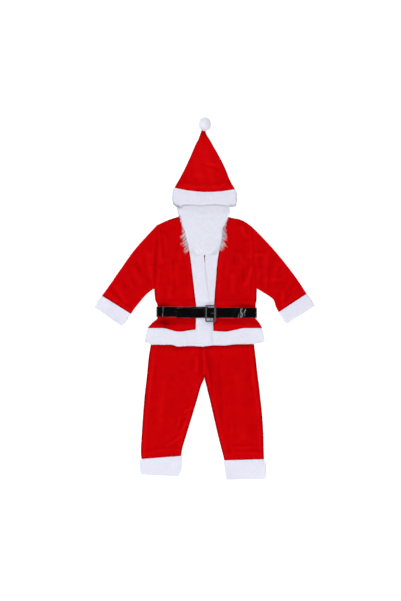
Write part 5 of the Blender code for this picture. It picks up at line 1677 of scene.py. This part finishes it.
# %% Make the buckle
reach_x, reach_y = (size / 2 - BUCKLE_BAR / 2 for size in BUCKLE_SIZE)
rings = []
for sign_x, sign_y, start in ((1, 1, 0), (-1, 1, 90), (-1, -1, 180), (1, -1, 270)):
    for angle in np.radians(start + np.linspace(0, 90, 6)):
        at_x, at_y = MIDDLE_X + sign_x * (reach_x - CORNER), MIDDLE_Y + sign_y * (reach_y - CORNER)
        rings.append([(at_x + (CORNER + out) * math.cos(angle), at_y + (CORNER + out) * math.sin(angle),
                       BUCKLE_TOP - 1.3 + up) for out, up in SECTION])
points = np.array(rings).reshape(-1, 3)
around = quads_over(len(rings) + 1, len(SECTION), True) % len(points)
buckle = turn_outwards(add_mesh("buckle_frame_nickel", points, [around], nickel))
half_bar = [(reach_y, BUCKLE_TOP - 1.6), (reach_y - 0.6, CENTRE_BAR_Z + 0.8), (reach_y - 1.8, CENTRE_BAR_Z)]
bar_path = [*half_bar, (0, CENTRE_BAR_Z), *[(-reach, z) for reach, z in half_bar[::-1]]]
bar = sweep("buckle_centre_bar_nickel", [(MIDDLE_X, MIDDLE_Y + y, z) for y, z in bar_path], 1.1, nickel)
PRONG_PATH = [(1.2, CENTRE_BAR_Z + 2.6), (4.5, BUCKLE_TOP - 1.2), (9, PRONG_REST - 0.5),
              (14, PRONG_REST + 0.4), (19, PRONG_REST + 0.2), (22.6, PRONG_REST - 0.3)]
prong = sweep("buckle_prong_nickel", [(MIDDLE_X + x, PRONG_Y, z) for x, z in PRONG_PATH], 1.0, nickel)
for piece, node in ((buckle, "buckle_frame"), (bar, None), (prong, "buckle_prong")):
    place_piece(piece, node)
    print(piece.name, len(piece.data.polygons), "faces")

# %% [markdown]
# ## Table, light and camera
# A suit like this is shown laid on a white acrylic sheet that is lit from below. Here the sheet
# glows a little, so that it comes out white. One big light overhead would be simplest, but the
# belt mirrors what is above it, and stays black only if that is dark: so the sky is dark on top
# and bright around, and soft boxes stand at the sides. The camera hangs straight above with a
# long lens, so that the set keeps its outline without perspective.

# %% The table
TABLE_HALF = 4000
TABLE_GLOW = 0.42      # as if lit from below, so that it comes out white
white = new_material("white_acrylic_sheet", {
    "Base Color": linear("#f7f7f7"), "Roughness": 0.6, "Specular IOR Level": 0.1,
    "Emission Color": linear("#ffffff"), "Emission Strength": TABLE_GLOW})[0]
corners = [(x * TABLE_HALF, y * TABLE_HALF, TABLE_Z) for x, y in ((-1, -1), (1, -1), (1, 1), (-1, 1))]
table_top = add_mesh("table", np.array(corners), [np.array([[0, 1, 2, 3]])], white)
print("table:", 2 * TABLE_HALF, "mm wide")

# %% The light
world = bpy.data.worlds.new("studio")
bpy.context.scene.world = world
world.use_nodes = True
tree = world.node_tree
SKY_BRIGHT, SKY_DARK = (0.45, 1.58), (0.95, 0.03)      # height, as the sine of the angle up, and strength
FOOT_END, HEAD_END = 0.55, 1.45                         # shares of it at the two ends of the set
direction = add_node(tree, "TexCoord", {}, "Generated")
upward = add_node(tree, "SeparateXYZ", {"Vector": direction}, "Z")
to_head = add_node(tree, "SeparateXYZ", {"Vector": direction}, "Y")
sky = add_node(tree, "MapRange", {
    "interpolation_type": "SMOOTHSTEP", "Value": upward, "From Min": SKY_BRIGHT[0],
    "From Max": SKY_DARK[0], "To Min": SKY_BRIGHT[1], "To Max": SKY_DARK[1]})
ends = add_node(tree, "MapRange", {"Value": to_head, "From Min": -1.0, "From Max": 1.0,
                                   "To Min": FOOT_END, "To Max": HEAD_END})
glow = add_node(tree, "Math", {"operation": "MULTIPLY", 0: sky, 1: ends})
fill(tree.nodes["Background"], {"Strength": glow})
print("sky, bright and dark:", SKY_BRIGHT, SKY_DARK)

# %% The soft boxes
SOFT_BOXES = [
    # name, place, size, watts
    ("key_above", (-0.7, 3.4, 3.2), (1.8, 1.0), 95),
    ("fill_left", (-3.4, -0.4, 2.4), (0.8, 1.6), 74),
    ("fill_right", (3.4, -0.6, 2.4), (0.8, 1.6), 68),
    ("fill_below", (0.2, -3.4, 2.6), (1.6, 0.8), 68),
]
for name, spot, size, watts in SOFT_BOXES:
    lamp = bpy.data.lights.new(name, "AREA")
    lamp.shape = "RECTANGLE"
    lamp.size, lamp.size_y = size
    lamp.energy = watts
    box = bpy.data.objects.new(name, lamp)
    bpy.context.scene.collection.objects.link(box)
    box.location = spot
    box.rotation_euler = (-box.location).to_track_quat("-Z", "Y").to_euler()
print("soft boxes:", len(SOFT_BOXES))

# %% The camera
FRAME_HEIGHT = 601 * 4.5 * MM      # each pixel of a 401 x 601 frame is 4.5 mm on the table
LENS = 100.0
SENSOR = 36.0
CAMERA_AIM = (-18.0, -8.55, 8)     # the middle of the frame, at the height of the cloth
camera_data = bpy.data.cameras.new("camera")
camera_data.lens = LENS
camera_data.sensor_fit = "VERTICAL"
camera_data.sensor_height = SENSOR
camera_data.clip_end = 60
camera = bpy.data.objects.new("camera", camera_data)
bpy.context.scene.collection.objects.link(camera)
aim_x, aim_y, aim_z = CAMERA_AIM
camera.location = (aim_x * MM, aim_y * MM, FRAME_HEIGHT * LENS / SENSOR + aim_z * MM)
bpy.context.scene.camera = camera
bpy.context.scene.view_settings.view_transform = "Standard"
print("the camera hangs", round(camera.location.z, 2), "m up")
